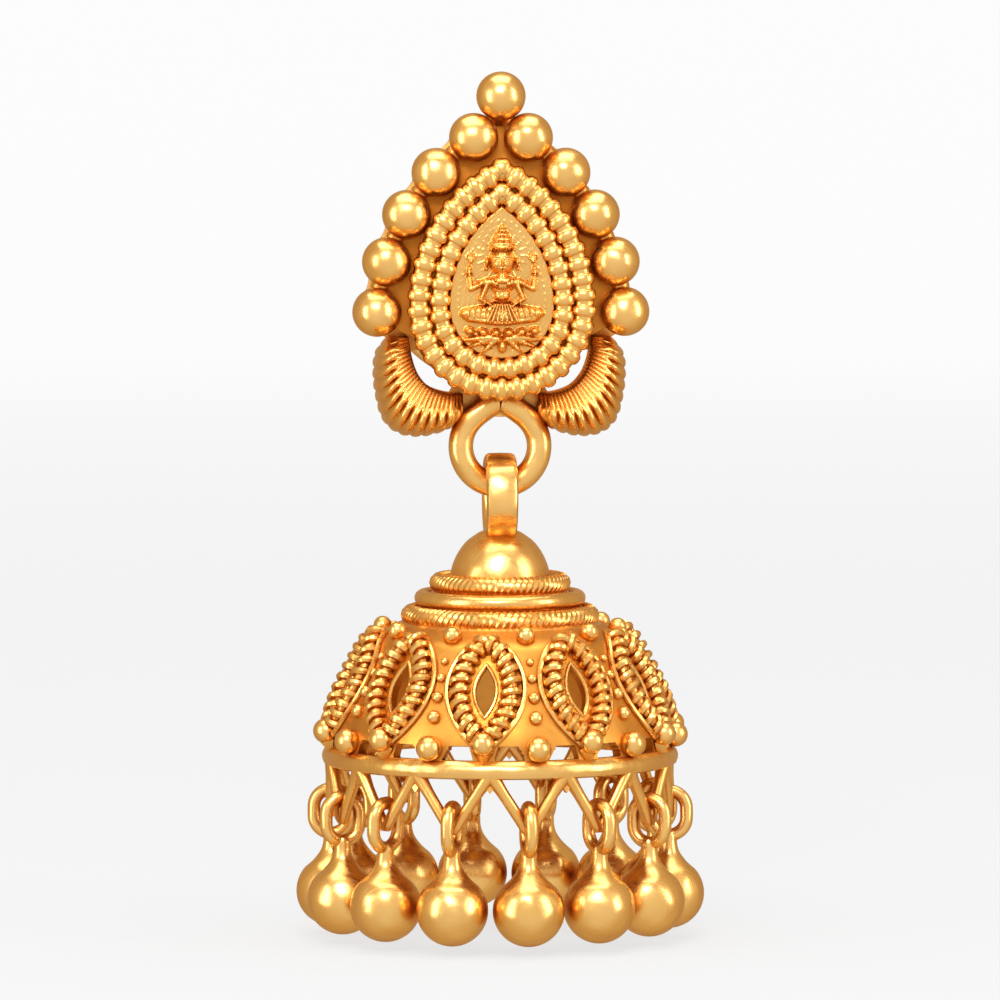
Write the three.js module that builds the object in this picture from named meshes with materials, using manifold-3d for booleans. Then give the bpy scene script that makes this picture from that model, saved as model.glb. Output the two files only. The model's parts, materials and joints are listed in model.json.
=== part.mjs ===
// A gold jhumka earring: a teardrop stud on a screw post, and a fluted bell with ball drops that
// swings from the stud's ring. Millimetres, +Z up, the wearer's front towards -Y. The origin is on
// the post's axis, at the back face of the stud's plate, where the earring sits on the ear lobe.

import * as THREE from 'three';
import { mergeVertices } from 'three/addons/utils/BufferGeometryUtils.js';
import Module from 'manifold-3d';

const wasm = await Module();
wasm.setup();

const degree = Math.PI / 180;

// Stud: the plate against the lobe and the layers soldered in front of it.
const plateThickness = 0.35;
const plateMargin = 0.9; // plate edge beyond the centres of the border balls
const plateDrop = 5.1; // from the post's axis down to the plate's lower edge
const plateStep = 1.2; // below the post's axis, where the plate narrows behind the horns
const webFront = 1.35; // front of the thick layer that carries the border balls
const ballRadius = 0.915;
const ballDepth = 1.67; // centres of the border balls in front of the plate's back
const ballPairs = 5;
const ballArcRadius = 9.04; // each side's balls lie on an arc of this radius
const ballArcAcross = 4.4; // the arc's centre lies this far over on the other side
const ballArcDrop = 1.9;
const firstBallAngle = 4.97 * degree;
const ballStep = 12.06 * degree;
const topBallRise = 6.87;
const topNeckRadius = 0.46;

// Teardrop dome with two rows of coiled wire round a figure in relief.
const domeHalfWidth = 3.45;
const domeTip = 4.6; // apex above the post's axis
const domeDrop = 0.9; // the widest line below the post's axis
const domeFront = 1.95; // front of the smooth body under the coils
const outerCoilWidth = 0.78;
const innerCoilWidth = 0.72;
const coilRise = 0.5; // from the smooth body to the top of the coils
const coilBevel = 0.22;
const coilGap = 0.05; // between the two rows
const fieldFront = 2.1; // the ground that the figure stands out of
const figureRelief = 1.0; // how far the head stands out of the ground

// Horns beside the ring, as a crescent with a ribbed edge that follows the teardrop's size.
const hornInner = 0.406 * domeHalfWidth; // from the middle to the horn's inner end
const hornWidth = 0.945 * domeHalfWidth;
const hornTop = 0.638 * domeHalfWidth; // below the post's axis
const hornHeight = 1.029 * domeHalfWidth;
const hornBack = plateThickness / 2; // let into the front of the plate
const hornFront = 2.35;
const hornBevel = 0.22;
const hornRibs = 9;
const hornRibShare = 0.94; // a rib's width, as a share of the distance between two

// Ring that carries the bell.
const ringRadius = 1.46; // to the wire's centre line
const ringWire = 0.92; // wire diameter
const ringDepth = 1.15; // the ring's plane in front of the plate's back
const ringLap = 0.13; // how far the ring is let into the teardrop's lower end

// Screw post and its nut.
const postRadius = 0.65;
const postLength = 12;
const postFootRadius = 1.6;
const postFootLength = 0.9;
const postTipRadius = 0.52;
const postTipLength = 0.22;
const threadClearance = 0.1; // between the post and the nut's bore
const nutRadius = 4.15;
const nutThickness = 1.4;
const nutPlace = 5.1; // from the plate's back to the nut's face
const nutDish = 0.35;
const nutRim = 0.6;
const bowReach = 11.3; // from the plate's back to the outside of the bow
const bowWidth = 1.1;
const bowThickness = 0.55;
const bowSteps = 12;
const hubRadius = 1.15;
const hubLength = 0.8;

// Eye, cap and rings on top of the bell.
const eyeOuter = 1.63;
const eyeInner = 0.98;
const eyeWidth = 1.16;
const eyeRelief = 0.17; // how far the eye's bore opens out to its edges
const eyeClearance = 0.09; // between the ring's wire and the eye resting under it
const eyeBelly = 0.04; // how far the bore has opened half way to its edges
const capSink = 0.26; // how far the eye's foot is let into the cap
const capTopRadius = 0.95;
const capRadius = 1.87;
const capShoulderRadius = 1.5;
const capShoulderShare = 0.42; // the shoulder's place, as a share of the way down the cap
const capHeight = 1.57;
const topRopeRadius = 2.26; // centre line of the upper rope ring
const topRopeWire = 0.76;
const plainRingRadius = 2.89;
const plainRingWire = 0.6;
const lowRopeRadius = 3.3;
const lowRopeWire = 0.8;
const ropeStrands = 3;
const ropeTurns = 11;
const ropeSwell = 0.1; // how far a strand stands out, as a share of the rope's radius
const ropeLap = 0.17; // how far each ring sits into the next, as a share of their wires
const wallLap = 0.12; // how far the wall's top sits up behind the low rope, as a share of its wire

// Bell wall, its leaves and openings, and the band at its mouth.
const mouthRadius = 6.38;
const wallHeight = 4.62;
const wallTopShare = 0.6; // radius at the top of the wall, as a share of the mouth's
const wallThickness = 0.45;
const leafCount = 10;
const leafPhase = -9.5 * degree; // the front leaf's place, measured from the front
const leafHalfWidth = 0.85; // to the middle of the leaf's coil
const leafSteps = 10;
const leafTopShare = 0.05; // the leaf's ends, as shares of the way down the wall
const leafLowShare = 0.93;
const leafCoilWidth = 0.75;
const slitHalfWidth = 0.34;
const slitShare = 0.42; // length of the leaf's opening, as a share of the leaf
const cornerWidth = 0.85; // three-cornered openings above the band
const cornerHeight = 0.75;
const cornerRise = 0.52; // the openings' middle above the wall's foot
const granuleRadius = 0.42;
const bandRelief = 0.24; // how far the band stands out of the wall's foot
const bandHeight = 0.6;

// Gallery of V-shaped struts and the ball drops that hang in it.
const dropCount = 14;
const dropPhase = 5.6 * degree;
const galleryInset = 0.32; // from the band's outside to the middle of the struts
const strutWire = 0.38;
const strutFootRise = 0.2; // the struts' ends above the band's lower edge
const strutGap = 0.05; // half the distance between the ends of two neighbours
const strutDrop = 1.975; // from the band's lower edge to the struts' point, on the wire's centre line
const loopHalfWidth = 0.66; // on the wire's centre line
const loopHalfHeight = 0.83;
const loopWire = 0.48;
const linkClearance = 0.085; // between a drop's loop and the strut that it hangs on
const dropRadius = 1.32;
const neckLength = 0.88;
const neckTopRadius = 0.29;
const neckRadius = 0.36;
const roundSides = 10;

// Radii and heights that follow from the sizes above.
const bandRadius = mouthRadius + bandRelief;
const galleryRadius = bandRadius - galleryInset;
const ringDrop = domeDrop + domeHalfWidth + ringRadius + ringWire / 2 - ringLap;
const pinHeight = -(ringDrop + ringRadius); // centre of the wire that the bell's eye hangs on
const bellAxisY = -ringDepth;
const eyeCentre = pinHeight + ringWire / 2 + eyeClearance - eyeInner;
const capTop = eyeCentre - eyeOuter + capSink;
const capFoot = capTop - capHeight;
const topRopeHeight = capFoot - topRopeWire / 3;
const plainRingHeight = topRopeHeight - ((topRopeWire + plainRingWire) / 2) * (1 - ropeLap);
const lowRopeHeight = plainRingHeight - ((plainRingWire + lowRopeWire) / 2) * (1 - ropeLap / 2);
const wallTop = lowRopeHeight - (lowRopeWire / 2) * (1 - 2 * wallLap);
const wallFoot = wallTop - wallHeight;
const bandFoot = wallFoot - bandHeight;
const strutPoint = bandFoot - strutDrop;

const gold = {
  stud: new THREE.MeshStandardMaterial({ color: '#e0a040', roughness: 0.32, metalness: 1 }),
  nut: new THREE.MeshStandardMaterial({ color: '#e8b050', roughness: 0.28, metalness: 1 }),
  bell: new THREE.MeshStandardMaterial({ color: '#d89838', roughness: 0.34, metalness: 1 }),
  drop: new THREE.MeshStandardMaterial({ color: '#e6a84a', roughness: 0.26, metalness: 1 }),
};

// Six times the volume that a mesh encloses, negative when its faces point in.
function signedVolume(points, triangles) {
  const [a, b, c] = [new THREE.Vector3(), new THREE.Vector3(), new THREE.Vector3()];
  let total = 0;
  for (let i = 0; i < triangles.length; i += 3) {
    a.fromArray(points, 3 * triangles[i]);
    b.fromArray(points, 3 * triangles[i + 1]);
    c.fromArray(points, 3 * triangles[i + 2]);
    total += a.dot(b.cross(c));
  }
  return total;
}

// A closed geometry as a solid that can be joined and cut.
function solid(geometry) {
  geometry.deleteAttribute('normal');
  geometry.deleteAttribute('uv');
  const merged = mergeVertices(geometry);
  const points = merged.attributes.position.array;
  const corners = merged.index.array;
  const kept = [];
  for (let i = 0; i < corners.length; i += 3) {
    const [p, q, r] = [corners[i], corners[i + 1], corners[i + 2]];
    if (p !== q && q !== r && r !== p) {
      kept.push(p, q, r);
    }
  }
  if (signedVolume(points, kept) < 0) {
    kept.reverse();
  }
  return new wasm.Manifold(new wasm.Mesh({
    numProp: 3,
    vertProperties: Float32Array.from(points),
    triVerts: Uint32Array.from(kept),
  }));
}

function joined(solids) {
  return solids.reduce((whole, next) => whole.add(next));
}

// Joins a long list in pairs, which is quicker than one after another.
function gathered(solids) {
  let layer = solids;
  while (layer.length > 1) {
    const next = [];
    for (let i = 0; i < layer.length; i += 2) {
      next.push(i + 1 < layer.length ? layer[i].add(layer[i + 1]) : layer[i]);
    }
    layer = next;
  }
  return layer[0];
}

// The triangles of a body without the small gaps that ridges trap between them: solder fills those.
function outerTriangles(points, triangles) {
  const parents = Array.from({ length: points.length / 3 }, (_, i) => i);
  const rootOf = (start) => {
    let i = start;
    while (parents[i] !== i) {
      parents[i] = parents[parents[i]];
      i = parents[i];
    }
    return i;
  };
  for (let i = 0; i < triangles.length; i += 3) {
    parents[rootOf(triangles[i])] = rootOf(triangles[i + 1]);
    parents[rootOf(triangles[i + 1])] = rootOf(triangles[i + 2]);
  }
  const skins = new Map();
  for (let i = 0; i < triangles.length; i += 3) {
    const root = rootOf(triangles[i]);
    if (!skins.has(root)) {
      skins.set(root, []);
    }
    skins.get(root).push(triangles[i], triangles[i + 1], triangles[i + 2]);
  }
  return [...skins.values()].filter((skin) => signedVolume(points, skin) > 0).flat();
}

function meshOf(name, body, material) {
  const { vertProperties, triVerts } = body.getMesh();
  const geometry = new THREE.BufferGeometry();
  geometry.setAttribute('position', new THREE.BufferAttribute(Float32Array.from(vertProperties), 3));
  geometry.setIndex(outerTriangles(vertProperties, triVerts));
  geometry.computeVertexNormals();
  const mesh = new THREE.Mesh(geometry, material);
  mesh.name = name;
  return mesh;
}

// Puts a geometry at a place, with its own x, y and z along three directions and stretched by scale.
function placed(geometry, place, [x, y, z], scale = [1, 1, 1]) {
  const frame = new THREE.Matrix4().makeBasis(x, y, z);
  frame.scale(new THREE.Vector3(...scale)).setPosition(place);
  return geometry.applyMatrix4(frame);
}

const sideways = new THREE.Vector3(1, 0, 0);
const upwards = new THREE.Vector3(0, 0, 1);
const forwards = new THREE.Vector3(0, -1, 0);
const faceOn = [sideways, upwards, forwards]; // a drawing's x, y and depth on the stud's front

function ballAt(place, radius, sides = 8, scale = [1, 1, 1]) {
  const stretched = scale.map((share) => share * radius);
  return solid(placed(new THREE.SphereGeometry(1, sides, sides / 2 + 1), place, faceOn, stretched));
}

// A flat drawing of the stud's front, made solid between two distances in front of the plate's back.
function slab(shape, back, front, bevel = 0) {
  const geometry = new THREE.ExtrudeGeometry(shape, {
    depth: front - back - 2 * bevel,
    curveSegments: 5,
    bevelEnabled: bevel > 0,
    bevelThickness: bevel,
    bevelSize: bevel,
    bevelOffset: -bevel,
    bevelSegments: 1,
  });
  geometry.rotateX(90 * degree);
  geometry.translate(0, -back - bevel, 0);
  return solid(geometry);
}

function onFront(point, depth) {
  return new THREE.Vector3(point.x, -depth, point.y);
}

function polygon(radius, sides) {
  const corners = [];
  for (let i = 0; i < sides; i += 1) {
    const turn = (2 * Math.PI * i) / sides;
    corners.push(new THREE.Vector2(radius * Math.cos(turn), radius * Math.sin(turn)));
  }
  return new THREE.Shape(corners);
}

// The teardrop's outline moved inwards: a half circle below and two arcs that meet at the tip.
const domeArc = (domeHalfWidth ** 2 + (domeTip + domeDrop) ** 2) / (2 * domeHalfWidth);
function teardrop(inset) {
  const centre = domeArc - domeHalfWidth;
  const side = domeArc - inset;
  const tipAngle = Math.acos(centre / side);
  const shape = new THREE.Shape();
  shape.absarc(-centre, -domeDrop, side, tipAngle, 0, true);
  shape.absarc(0, -domeDrop, domeHalfWidth - inset, 0, -Math.PI, true);
  shape.absarc(centre, -domeDrop, side, Math.PI, Math.PI - tipAngle, true);
  return shape;
}

// The body of a row of coiled wire: a rounded ring along the teardrop.
function coilRow(inset, width) {
  const body = slab(teardrop(inset), domeFront - coilRise, domeFront + coilRise, coilBevel);
  return body.subtract(slab(teardrop(inset + width), 0, domeFront + 2 * coilRise));
}

function borderBallPlace(index, side, reach = ballArcRadius) {
  const angle = firstBallAngle + index * ballStep;
  return new THREE.Vector2(
    side * (reach * Math.cos(angle) - ballArcAcross),
    reach * Math.sin(angle) - ballArcDrop,
  );
}

function borderBalls() {
  const balls = [ballAt(onFront(new THREE.Vector2(0, topBallRise), ballDepth), ballRadius)];
  for (const side of [-1, 1]) {
    for (let i = 0; i < ballPairs; i += 1) {
      balls.push(ballAt(onFront(borderBallPlace(i, side), ballDepth), ballRadius));
    }
  }
  return gathered(balls);
}

// The plate's outline: the two ball arcs moved outwards, which meet at the top, closed below.
function plateOutline(margin, drop) {
  const reach = ballArcRadius + margin;
  const low = -Math.asin((drop - ballArcDrop) / reach);
  const high = Math.acos(ballArcAcross / reach);
  const shape = new THREE.Shape();
  shape.absarc(-ballArcAcross, -ballArcDrop, reach, low, high, false);
  shape.absarc(ballArcAcross, -ballArcDrop, reach, Math.PI - high, Math.PI - low, false);
  return shape;
}

// The neck that carries the top ball, bent back from it to the plate.
function topNeck() {
  const lastPair = borderBallPlace(ballPairs - 1, 1);
  const path = new THREE.QuadraticBezierCurve3(
    new THREE.Vector3(0, -plateThickness, lastPair.y - ballRadius),
    new THREE.Vector3(0, -plateThickness, topBallRise - ballRadius / 2),
    new THREE.Vector3(0, -ballDepth, topBallRise),
  );
  return solid(new THREE.ExtrudeGeometry(polygon(topNeckRadius, 8), { steps: 4, extrudePath: path }));
}

// Seated figure with raised arms on a lotus. Places are shares of the field's half width and of its
// depth of relief: across, up from the figure's middle, then width, height and relief.
const figureTable = [
  { part: 'crown', across: 0, up: 1.35, width: 0.22, height: 0.4, relief: 0.75 },
  { part: 'head', across: 0, up: 0.88, width: 0.32, height: 0.4, relief: 1 },
  { part: 'chest', across: 0, up: 0.25, width: 0.42, height: 0.42, relief: 0.75 },
  { part: 'lap', across: 0, up: -0.22, width: 0.78, height: 0.24, relief: 0.7 },
];
const pairTable = [
  { part: 'bud', across: 0.72, up: 0.95, width: 0.2, height: 0.26, relief: 0.6 },
  { part: 'arm', across: 0.56, up: 0.4, width: 0.18, height: 0.4, relief: 0.6 },
  { part: 'knee', across: 0.62, up: -0.3, width: 0.34, height: 0.2, relief: 0.65 },
];
const seatBeads = 6;
const seatWidth = 1.3; // from the first bead to the last, as a share of the field's half width
const seatDrop = 0.56; // the beads' row below the field's middle, as a share of the same
const beadFullness = 0.6; // a bead's radius, as a share of the distance between two
const petals = 5;
const petalLean = 24 * degree; // from one petal to the next
const petalReach = 0.9; // from the field's middle to the petals, as a share of its half width
const petalSize = { length: 0.26, width: 0.17, relief: 0.5 };

function fieldHalfWidth() {
  return domeHalfWidth - outerCoilWidth - coilGap - innerCoilWidth;
}

function figure() {
  const unit = fieldHalfWidth();
  const middle = -domeDrop;
  const blob = ({ across, up, width, height, relief }, side) => ballAt(
    onFront(new THREE.Vector2(side * across * unit, middle + up * unit), fieldFront),
    1,
    6,
    [width * unit, height * unit, relief * figureRelief],
  );
  const blobs = figureTable.map((row) => blob(row, 1));
  for (const side of [-1, 1]) {
    blobs.push(...pairTable.map((row) => blob(row, side)));
  }
  const beadStep = (seatWidth * unit) / (seatBeads - 1);
  for (let i = 0; i < seatBeads; i += 1) {
    const across = (i - (seatBeads - 1) / 2) * beadStep;
    const place = new THREE.Vector2(across, middle - seatDrop * unit);
    blobs.push(ballAt(onFront(place, fieldFront), beadStep * beadFullness, 6));
  }
  for (let i = 0; i < petals; i += 1) {
    const lean = (i - (petals - 1) / 2) * petalLean;
    const reach = petalReach * unit;
    const place = new THREE.Vector2(reach * Math.sin(lean), middle - reach * Math.cos(lean));
    const along = new THREE.Vector3(Math.sin(lean), 0, -Math.cos(lean));
    const across = new THREE.Vector3().crossVectors(forwards, along);
    const size = [petalSize.length * unit, petalSize.width * unit, petalSize.relief * figureRelief];
    const petal = new THREE.OctahedronGeometry(1, 0);
    blobs.push(solid(placed(petal, onFront(place, fieldFront), [along, across, forwards], size)));
  }
  return gathered(blobs);
}

// The horn's outline as shares of its width, from the inner end, and of its height, from the top.
const hornOuterEdge = [
  { across: 0.86, down: 0 },
  { across: 1, down: 0.28 },
  { across: 0.92, down: 0.8 },
  { across: 0.56, down: 1 },
  { across: 0.14, down: 0.92 },
  { across: 0, down: 0.64 },
];
const hornInnerEdge = [
  { across: 0.12, down: 0.53 },
  { across: 0.4, down: 0.48 },
  { across: 0.61, down: 0.06 },
];

function hornPoint({ across, down }, side) {
  return new THREE.Vector2(side * (hornInner + across * hornWidth), -(hornTop + down * hornHeight));
}

function horn(side) {
  const outer = hornOuterEdge.map((row) => hornPoint(row, side));
  const inner = hornInnerEdge.map((row) => hornPoint(row, side));
  const shape = new THREE.Shape();
  shape.moveTo(outer[0].x, outer[0].y);
  shape.splineThru(outer.slice(1));
  shape.splineThru(inner);
  const body = slab(new THREE.Shape(shape.getPoints(2)), hornBack, hornFront, hornBevel);
  const edge = new THREE.SplineCurve(outer);
  const ribs = [];
  for (let i = 0; i < hornRibs; i += 1) {
    const share = (i + 0.5) / hornRibs;
    const tangent = edge.getTangentAt(share);
    const along = new THREE.Vector3(tangent.x, 0, tangent.y);
    const across = new THREE.Vector3().crossVectors(forwards, along);
    const point = edge.getPointAt(share);
    const place = onFront(point, (hornBack + hornFront) / 2);
    const halfRib = (edge.getLength() / hornRibs / 2) * hornRibShare;
    const size = [halfRib, hornBevel, (hornFront - hornBack) / 2];
    ribs.push(solid(placed(new THREE.OctahedronGeometry(1, 0), place, [along, across, forwards], size)));
  }
  return body.add(gathered(ribs));
}

// The crescent left open between a horn and the teardrop, cut through the plate behind them.
function hornGap(side) {
  const inner = hornInnerEdge.map((row) => hornPoint(row, side));
  const centre = new THREE.Vector2(0, -domeDrop);
  const turnOf = (point) => point.clone().sub(centre).angle();
  const shape = new THREE.Shape();
  shape.moveTo(inner[0].x, inner[0].y);
  shape.splineThru(inner.slice(1));
  const lastTurn = turnOf(inner[inner.length - 1]);
  shape.absarc(centre.x, centre.y, domeHalfWidth, lastTurn, turnOf(inner[0]), side > 0);
  return slab(shape, -plateThickness, webFront);
}

function carryingRing() {
  const ring = new THREE.TorusGeometry(ringRadius, ringWire / 2, 8, 16);
  ring.rotateX(90 * degree);
  ring.translate(0, -ringDepth, -ringDrop);
  return solid(ring);
}

// The post is turned about its own axis: a soldered foot, then the shank with a blunt tip.
function screwPost() {
  const profile = [
    [0, -plateThickness / 2],
    [postFootRadius, -plateThickness / 2],
    [postFootRadius, 0],
    [(postRadius + postFootRadius) / 2, postFootLength / 3],
    [postRadius, postFootLength],
    [postRadius, postLength - postTipLength],
    [postTipRadius, postLength],
    [0, postLength],
  ];
  return solid(new THREE.LatheGeometry(profile.map(([r, y]) => new THREE.Vector2(r, y)), 10));
}

function stud() {
  const web = slab(plateOutline(0, ballArcDrop), plateThickness / 2, webFront);
  const dome = slab(teardrop(0), plateThickness / 2, domeFront);
  const field = slab(teardrop(outerCoilWidth + coilGap + innerCoilWidth), webFront, fieldFront);
  const upperPlate = slab(plateOutline(plateMargin, plateStep), 0, plateThickness);
  const lowerPlate = slab(plateOutline(0, plateDrop), 0, plateThickness);
  return gathered([
    upperPlate.add(lowerPlate).subtract(hornGap(-1)).subtract(hornGap(1)),
    web,
    dome,
    field,
    borderBalls(),
    topNeck(),
    coilRow(0, outerCoilWidth),
    coilRow(outerCoilWidth + coilGap, innerCoilWidth),
    figure(),
    horn(-1),
    horn(1),
    carryingRing(),
    screwPost(),
  ]);
}

// The nut: a dished disc, and a D-shaped bow that carries a second bearing on the post.
function screwNut() {
  const bore = postRadius + threadClearance;
  const back = nutPlace + nutThickness;
  const disc = solid(new THREE.LatheGeometry([
    [bore, nutPlace + nutDish],
    [nutRadius - nutRim - nutDish, nutPlace + nutDish],
    [nutRadius - nutRim, nutPlace],
    [nutRadius - nutRim / 3, nutPlace],
    [nutRadius, nutPlace + nutThickness / 3],
    [nutRadius, back - nutThickness / 3],
    [nutRadius - nutRim / 2, back],
    [bore, back],
    [bore, nutPlace + nutDish],
  ].map(([r, y]) => new THREE.Vector2(r, y)), 24));

  const foot = nutRadius - nutRim - bowThickness / 2;
  const reach = bowReach - bowThickness / 2 - back;
  const bowPoints = [];
  for (let i = 0; i <= bowSteps; i += 1) {
    const turn = (Math.PI * i) / bowSteps;
    const lift = i === 0 || i === bowSteps ? -nutThickness / 2 : 0;
    bowPoints.push(new THREE.Vector3(0, back + lift + reach * Math.sin(turn), foot * Math.cos(turn)));
  }
  const section = new THREE.Shape([
    new THREE.Vector2(-bowThickness / 2, -bowWidth / 2),
    new THREE.Vector2(bowThickness / 2, -bowWidth / 2),
    new THREE.Vector2(bowThickness / 2, bowWidth / 2),
    new THREE.Vector2(-bowThickness / 2, bowWidth / 2),
  ]);
  const bow = solid(new THREE.ExtrudeGeometry(section, {
    steps: bowSteps + bowSteps / 2,
    extrudePath: new THREE.CatmullRomCurve3(bowPoints),
  }));
  const hub = new THREE.CylinderGeometry(hubRadius, hubRadius, hubLength, 12);
  hub.translate(0, bowReach - hubLength / 2, 0);
  const drill = new THREE.CylinderGeometry(bore, bore, 2 * (bowReach + hubLength), 12);
  return joined([disc, bow, solid(hub)]).subtract(solid(drill));
}

// Turns a shape made about the local y axis onto the bell's upright axis.
function onBellAxis(geometry) {
  geometry.rotateX(90 * degree);
  geometry.translate(0, bellAxisY, 0);
  return geometry;
}

// A point round the bell: the angle runs from the front towards +X.
function around(angle, radius, height) {
  return new THREE.Vector3(radius * Math.sin(angle), bellAxisY - radius * Math.cos(angle), height);
}

function bellRing(radius, wire, height, strands = 0) {
  const steps = 2 * ropeTurns;
  const ring = new THREE.TorusGeometry(radius, wire / 2, 6, steps);
  const places = ring.attributes.position;
  const point = new THREE.Vector3();
  for (let i = 0; strands > 0 && i < places.count; i += 1) {
    point.fromBufferAttribute(places, i);
    const turn = Math.atan2(point.y, point.x);
    const out = Math.hypot(point.x, point.y) - radius;
    const face = Math.atan2(point.z, out);
    const swell = 1 + ropeSwell * Math.cos(strands * face + ropeTurns * turn);
    const reach = radius + out * swell;
    places.setXYZ(i, reach * Math.cos(turn), reach * Math.sin(turn), point.z * swell);
  }
  ring.translate(0, bellAxisY, height);
  return solid(ring);
}

// The eye is a strap bent round the stud's ring. Its bore opens out to both edges.
function eye() {
  const half = eyeWidth / 2;
  const profile = [
    [eyeInner, 0],
    [eyeInner + eyeBelly, half / 2],
    [eyeInner + eyeRelief, half],
    [eyeOuter - eyeRelief, half],
    [eyeOuter, half - eyeRelief],
    [eyeOuter, -half + eyeRelief],
    [eyeOuter - eyeRelief, -half],
    [eyeInner + eyeRelief, -half],
    [eyeInner + eyeBelly, -half / 2],
    [eyeInner, 0],
  ];
  const strap = new THREE.LatheGeometry(profile.map(([r, y]) => new THREE.Vector2(r, y)), 14);
  strap.rotateZ(90 * degree);
  strap.translate(0, bellAxisY, eyeCentre);
  return solid(strap);
}

// The bell's wall from the lower rope ring to the band, as shares of the mouth's radius and of the
// wall's height.
const wallTable = [
  { radius: wallTopShare, down: 0 },
  { radius: 0.733, down: 0.11 },
  { radius: 0.82, down: 0.31 },
  { radius: 0.92, down: 0.58 },
  { radius: 0.986, down: 0.82 },
  { radius: 1, down: 1 },
];
const wallCurve = new THREE.SplineCurve(wallTable.map(
  ({ radius, down }) => new THREE.Vector2(radius * mouthRadius, wallTop - down * wallHeight),
));

// A place on the wall, with the directions round it, down it and out of it.
function onWall(angle, share) {
  const { x: radius, y: height } = wallCurve.getPointAt(share);
  const slope = wallCurve.getTangentAt(share);
  const round = new THREE.Vector3(Math.cos(angle), Math.sin(angle), 0);
  const outwards = new THREE.Vector3(Math.sin(angle), -Math.cos(angle), 0);
  const down = outwards.clone().multiplyScalar(slope.x).add(new THREE.Vector3(0, 0, slope.y));
  const out = new THREE.Vector3().crossVectors(down, round).normalize();
  return { place: around(angle, radius, height), round, down, out, radius };
}

function shell() {
  const outer = [];
  const inner = [];
  const rows = 5;
  for (let i = 0; i <= rows; i += 1) {
    const point = wallCurve.getPointAt(i / rows);
    outer.push([point.x, point.y]);
    inner.unshift([point.x - wallThickness, point.y - (wallThickness / 2) * (1 - i / rows)]);
  }
  const profile = [
    [0, capTop],
    [capTopRadius, capTop],
    [capShoulderRadius, capTop - capHeight * capShoulderShare],
    [capRadius, capFoot],
    [topRopeRadius, topRopeHeight],
    [plainRingRadius, plainRingHeight],
    [lowRopeRadius, lowRopeHeight],
    ...outer,
    [bandRadius, wallFoot],
    [bandRadius, bandFoot],
    [mouthRadius - wallThickness, bandFoot],
    ...inner,
    [plainRingRadius - wallThickness, lowRopeHeight - wallThickness],
    [0, plainRingHeight - wallThickness],
  ];
  const points = profile.map(([r, y]) => new THREE.Vector2(r, y));
  return solid(onBellAxis(new THREE.LatheGeometry(points, 24)));
}

// A leaf's edge at a share of its way round: how far across, and how far down the wall.
function leafEdge(turn) {
  const middle = (leafTopShare + leafLowShare) / 2;
  const half = (leafLowShare - leafTopShare) / 2;
  const down = Math.cos(turn);
  const across = leafHalfWidth * Math.sign(Math.sin(turn)) * (1 - down * down);
  return { across, share: middle - half * down };
}

function leafCoil(angle) {
  const places = [];
  for (let i = 0; i < leafSteps; i += 1) {
    const { across, share } = leafEdge((2 * Math.PI * (i + 0.5)) / leafSteps);
    places.push(onWall(angle + across / wallCurve.getPointAt(share).x, share).place);
  }
  const path = new THREE.CatmullRomCurve3(places, true);
  return solid(new THREE.TubeGeometry(path, leafSteps, leafCoilWidth / 2, 4, true));
}

// Cuts straight through the wall: a drawing's x runs round the bell and its y up the wall.
function wallCutter(shape, angle, share) {
  const { place, round, down, out } = onWall(angle, share);
  const cutter = new THREE.ExtrudeGeometry(shape, { depth: 4 * wallThickness, bevelEnabled: false });
  cutter.translate(0, 0, -2 * wallThickness);
  return solid(placed(cutter, place, [round, down.clone().negate(), out]));
}

function leafOpening(angle) {
  const half = (wallCurve.getLength() * (leafLowShare - leafTopShare) * slitShare) / 2;
  const shape = new THREE.Shape([
    new THREE.Vector2(0, half),
    new THREE.Vector2(-slitHalfWidth, 0),
    new THREE.Vector2(0, -half),
    new THREE.Vector2(slitHalfWidth, 0),
  ]);
  return wallCutter(shape, angle, (leafTopShare + leafLowShare) / 2);
}

// The openings above the band, one on each side of the granule between two leaves.
function cornerOpening(angle, side) {
  const shape = new THREE.Shape([
    new THREE.Vector2(-cornerWidth / 2, -cornerHeight / 2),
    new THREE.Vector2(cornerWidth / 2, -cornerHeight / 2),
    new THREE.Vector2((-side * cornerWidth) / 4, cornerHeight / 2),
  ]);
  const share = 1 - cornerRise / wallCurve.getLength();
  const shift = (granuleRadius + cornerWidth / 2) / mouthRadius;
  return wallCutter(shape, angle + side * shift, share);
}

// Half the angle between a strut's legs, from the band's places for them down to the point.
function strutLean() {
  const halfSpacing = galleryRadius * Math.sin(Math.PI / dropCount);
  return Math.atan2(halfSpacing, strutDrop + strutFootRise);
}

// Each strut is a V cut from sheet, set in the band between two of its neighbours.
function strut(angle) {
  const lean = strutLean();
  const rise = strutDrop + strutFootRise;
  const halfSpacing = rise * Math.tan(lean) - strutGap;
  const aside = strutWire / 2 / Math.cos(lean);
  const below = strutWire / 2 / Math.sin(lean);
  const shape = new THREE.Shape([
    new THREE.Vector2(-halfSpacing, rise),
    new THREE.Vector2(-strutWire / 3, -below / 2),
    new THREE.Vector2(strutWire / 3, -below / 2),
    new THREE.Vector2(halfSpacing, rise),
    new THREE.Vector2(halfSpacing - 2 * aside, rise),
    new THREE.Vector2(0, below),
    new THREE.Vector2(-halfSpacing + 2 * aside, rise),
  ]);
  const sheet = new THREE.ExtrudeGeometry(shape, { depth: strutWire, bevelEnabled: false });
  sheet.translate(0, 0, -strutWire / 2);
  const round = new THREE.Vector3(Math.cos(angle), Math.sin(angle), 0);
  const out = new THREE.Vector3(Math.sin(angle), -Math.cos(angle), 0);
  return solid(placed(sheet, around(angle, galleryRadius, strutPoint), [round, upwards, out]));
}

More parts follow.
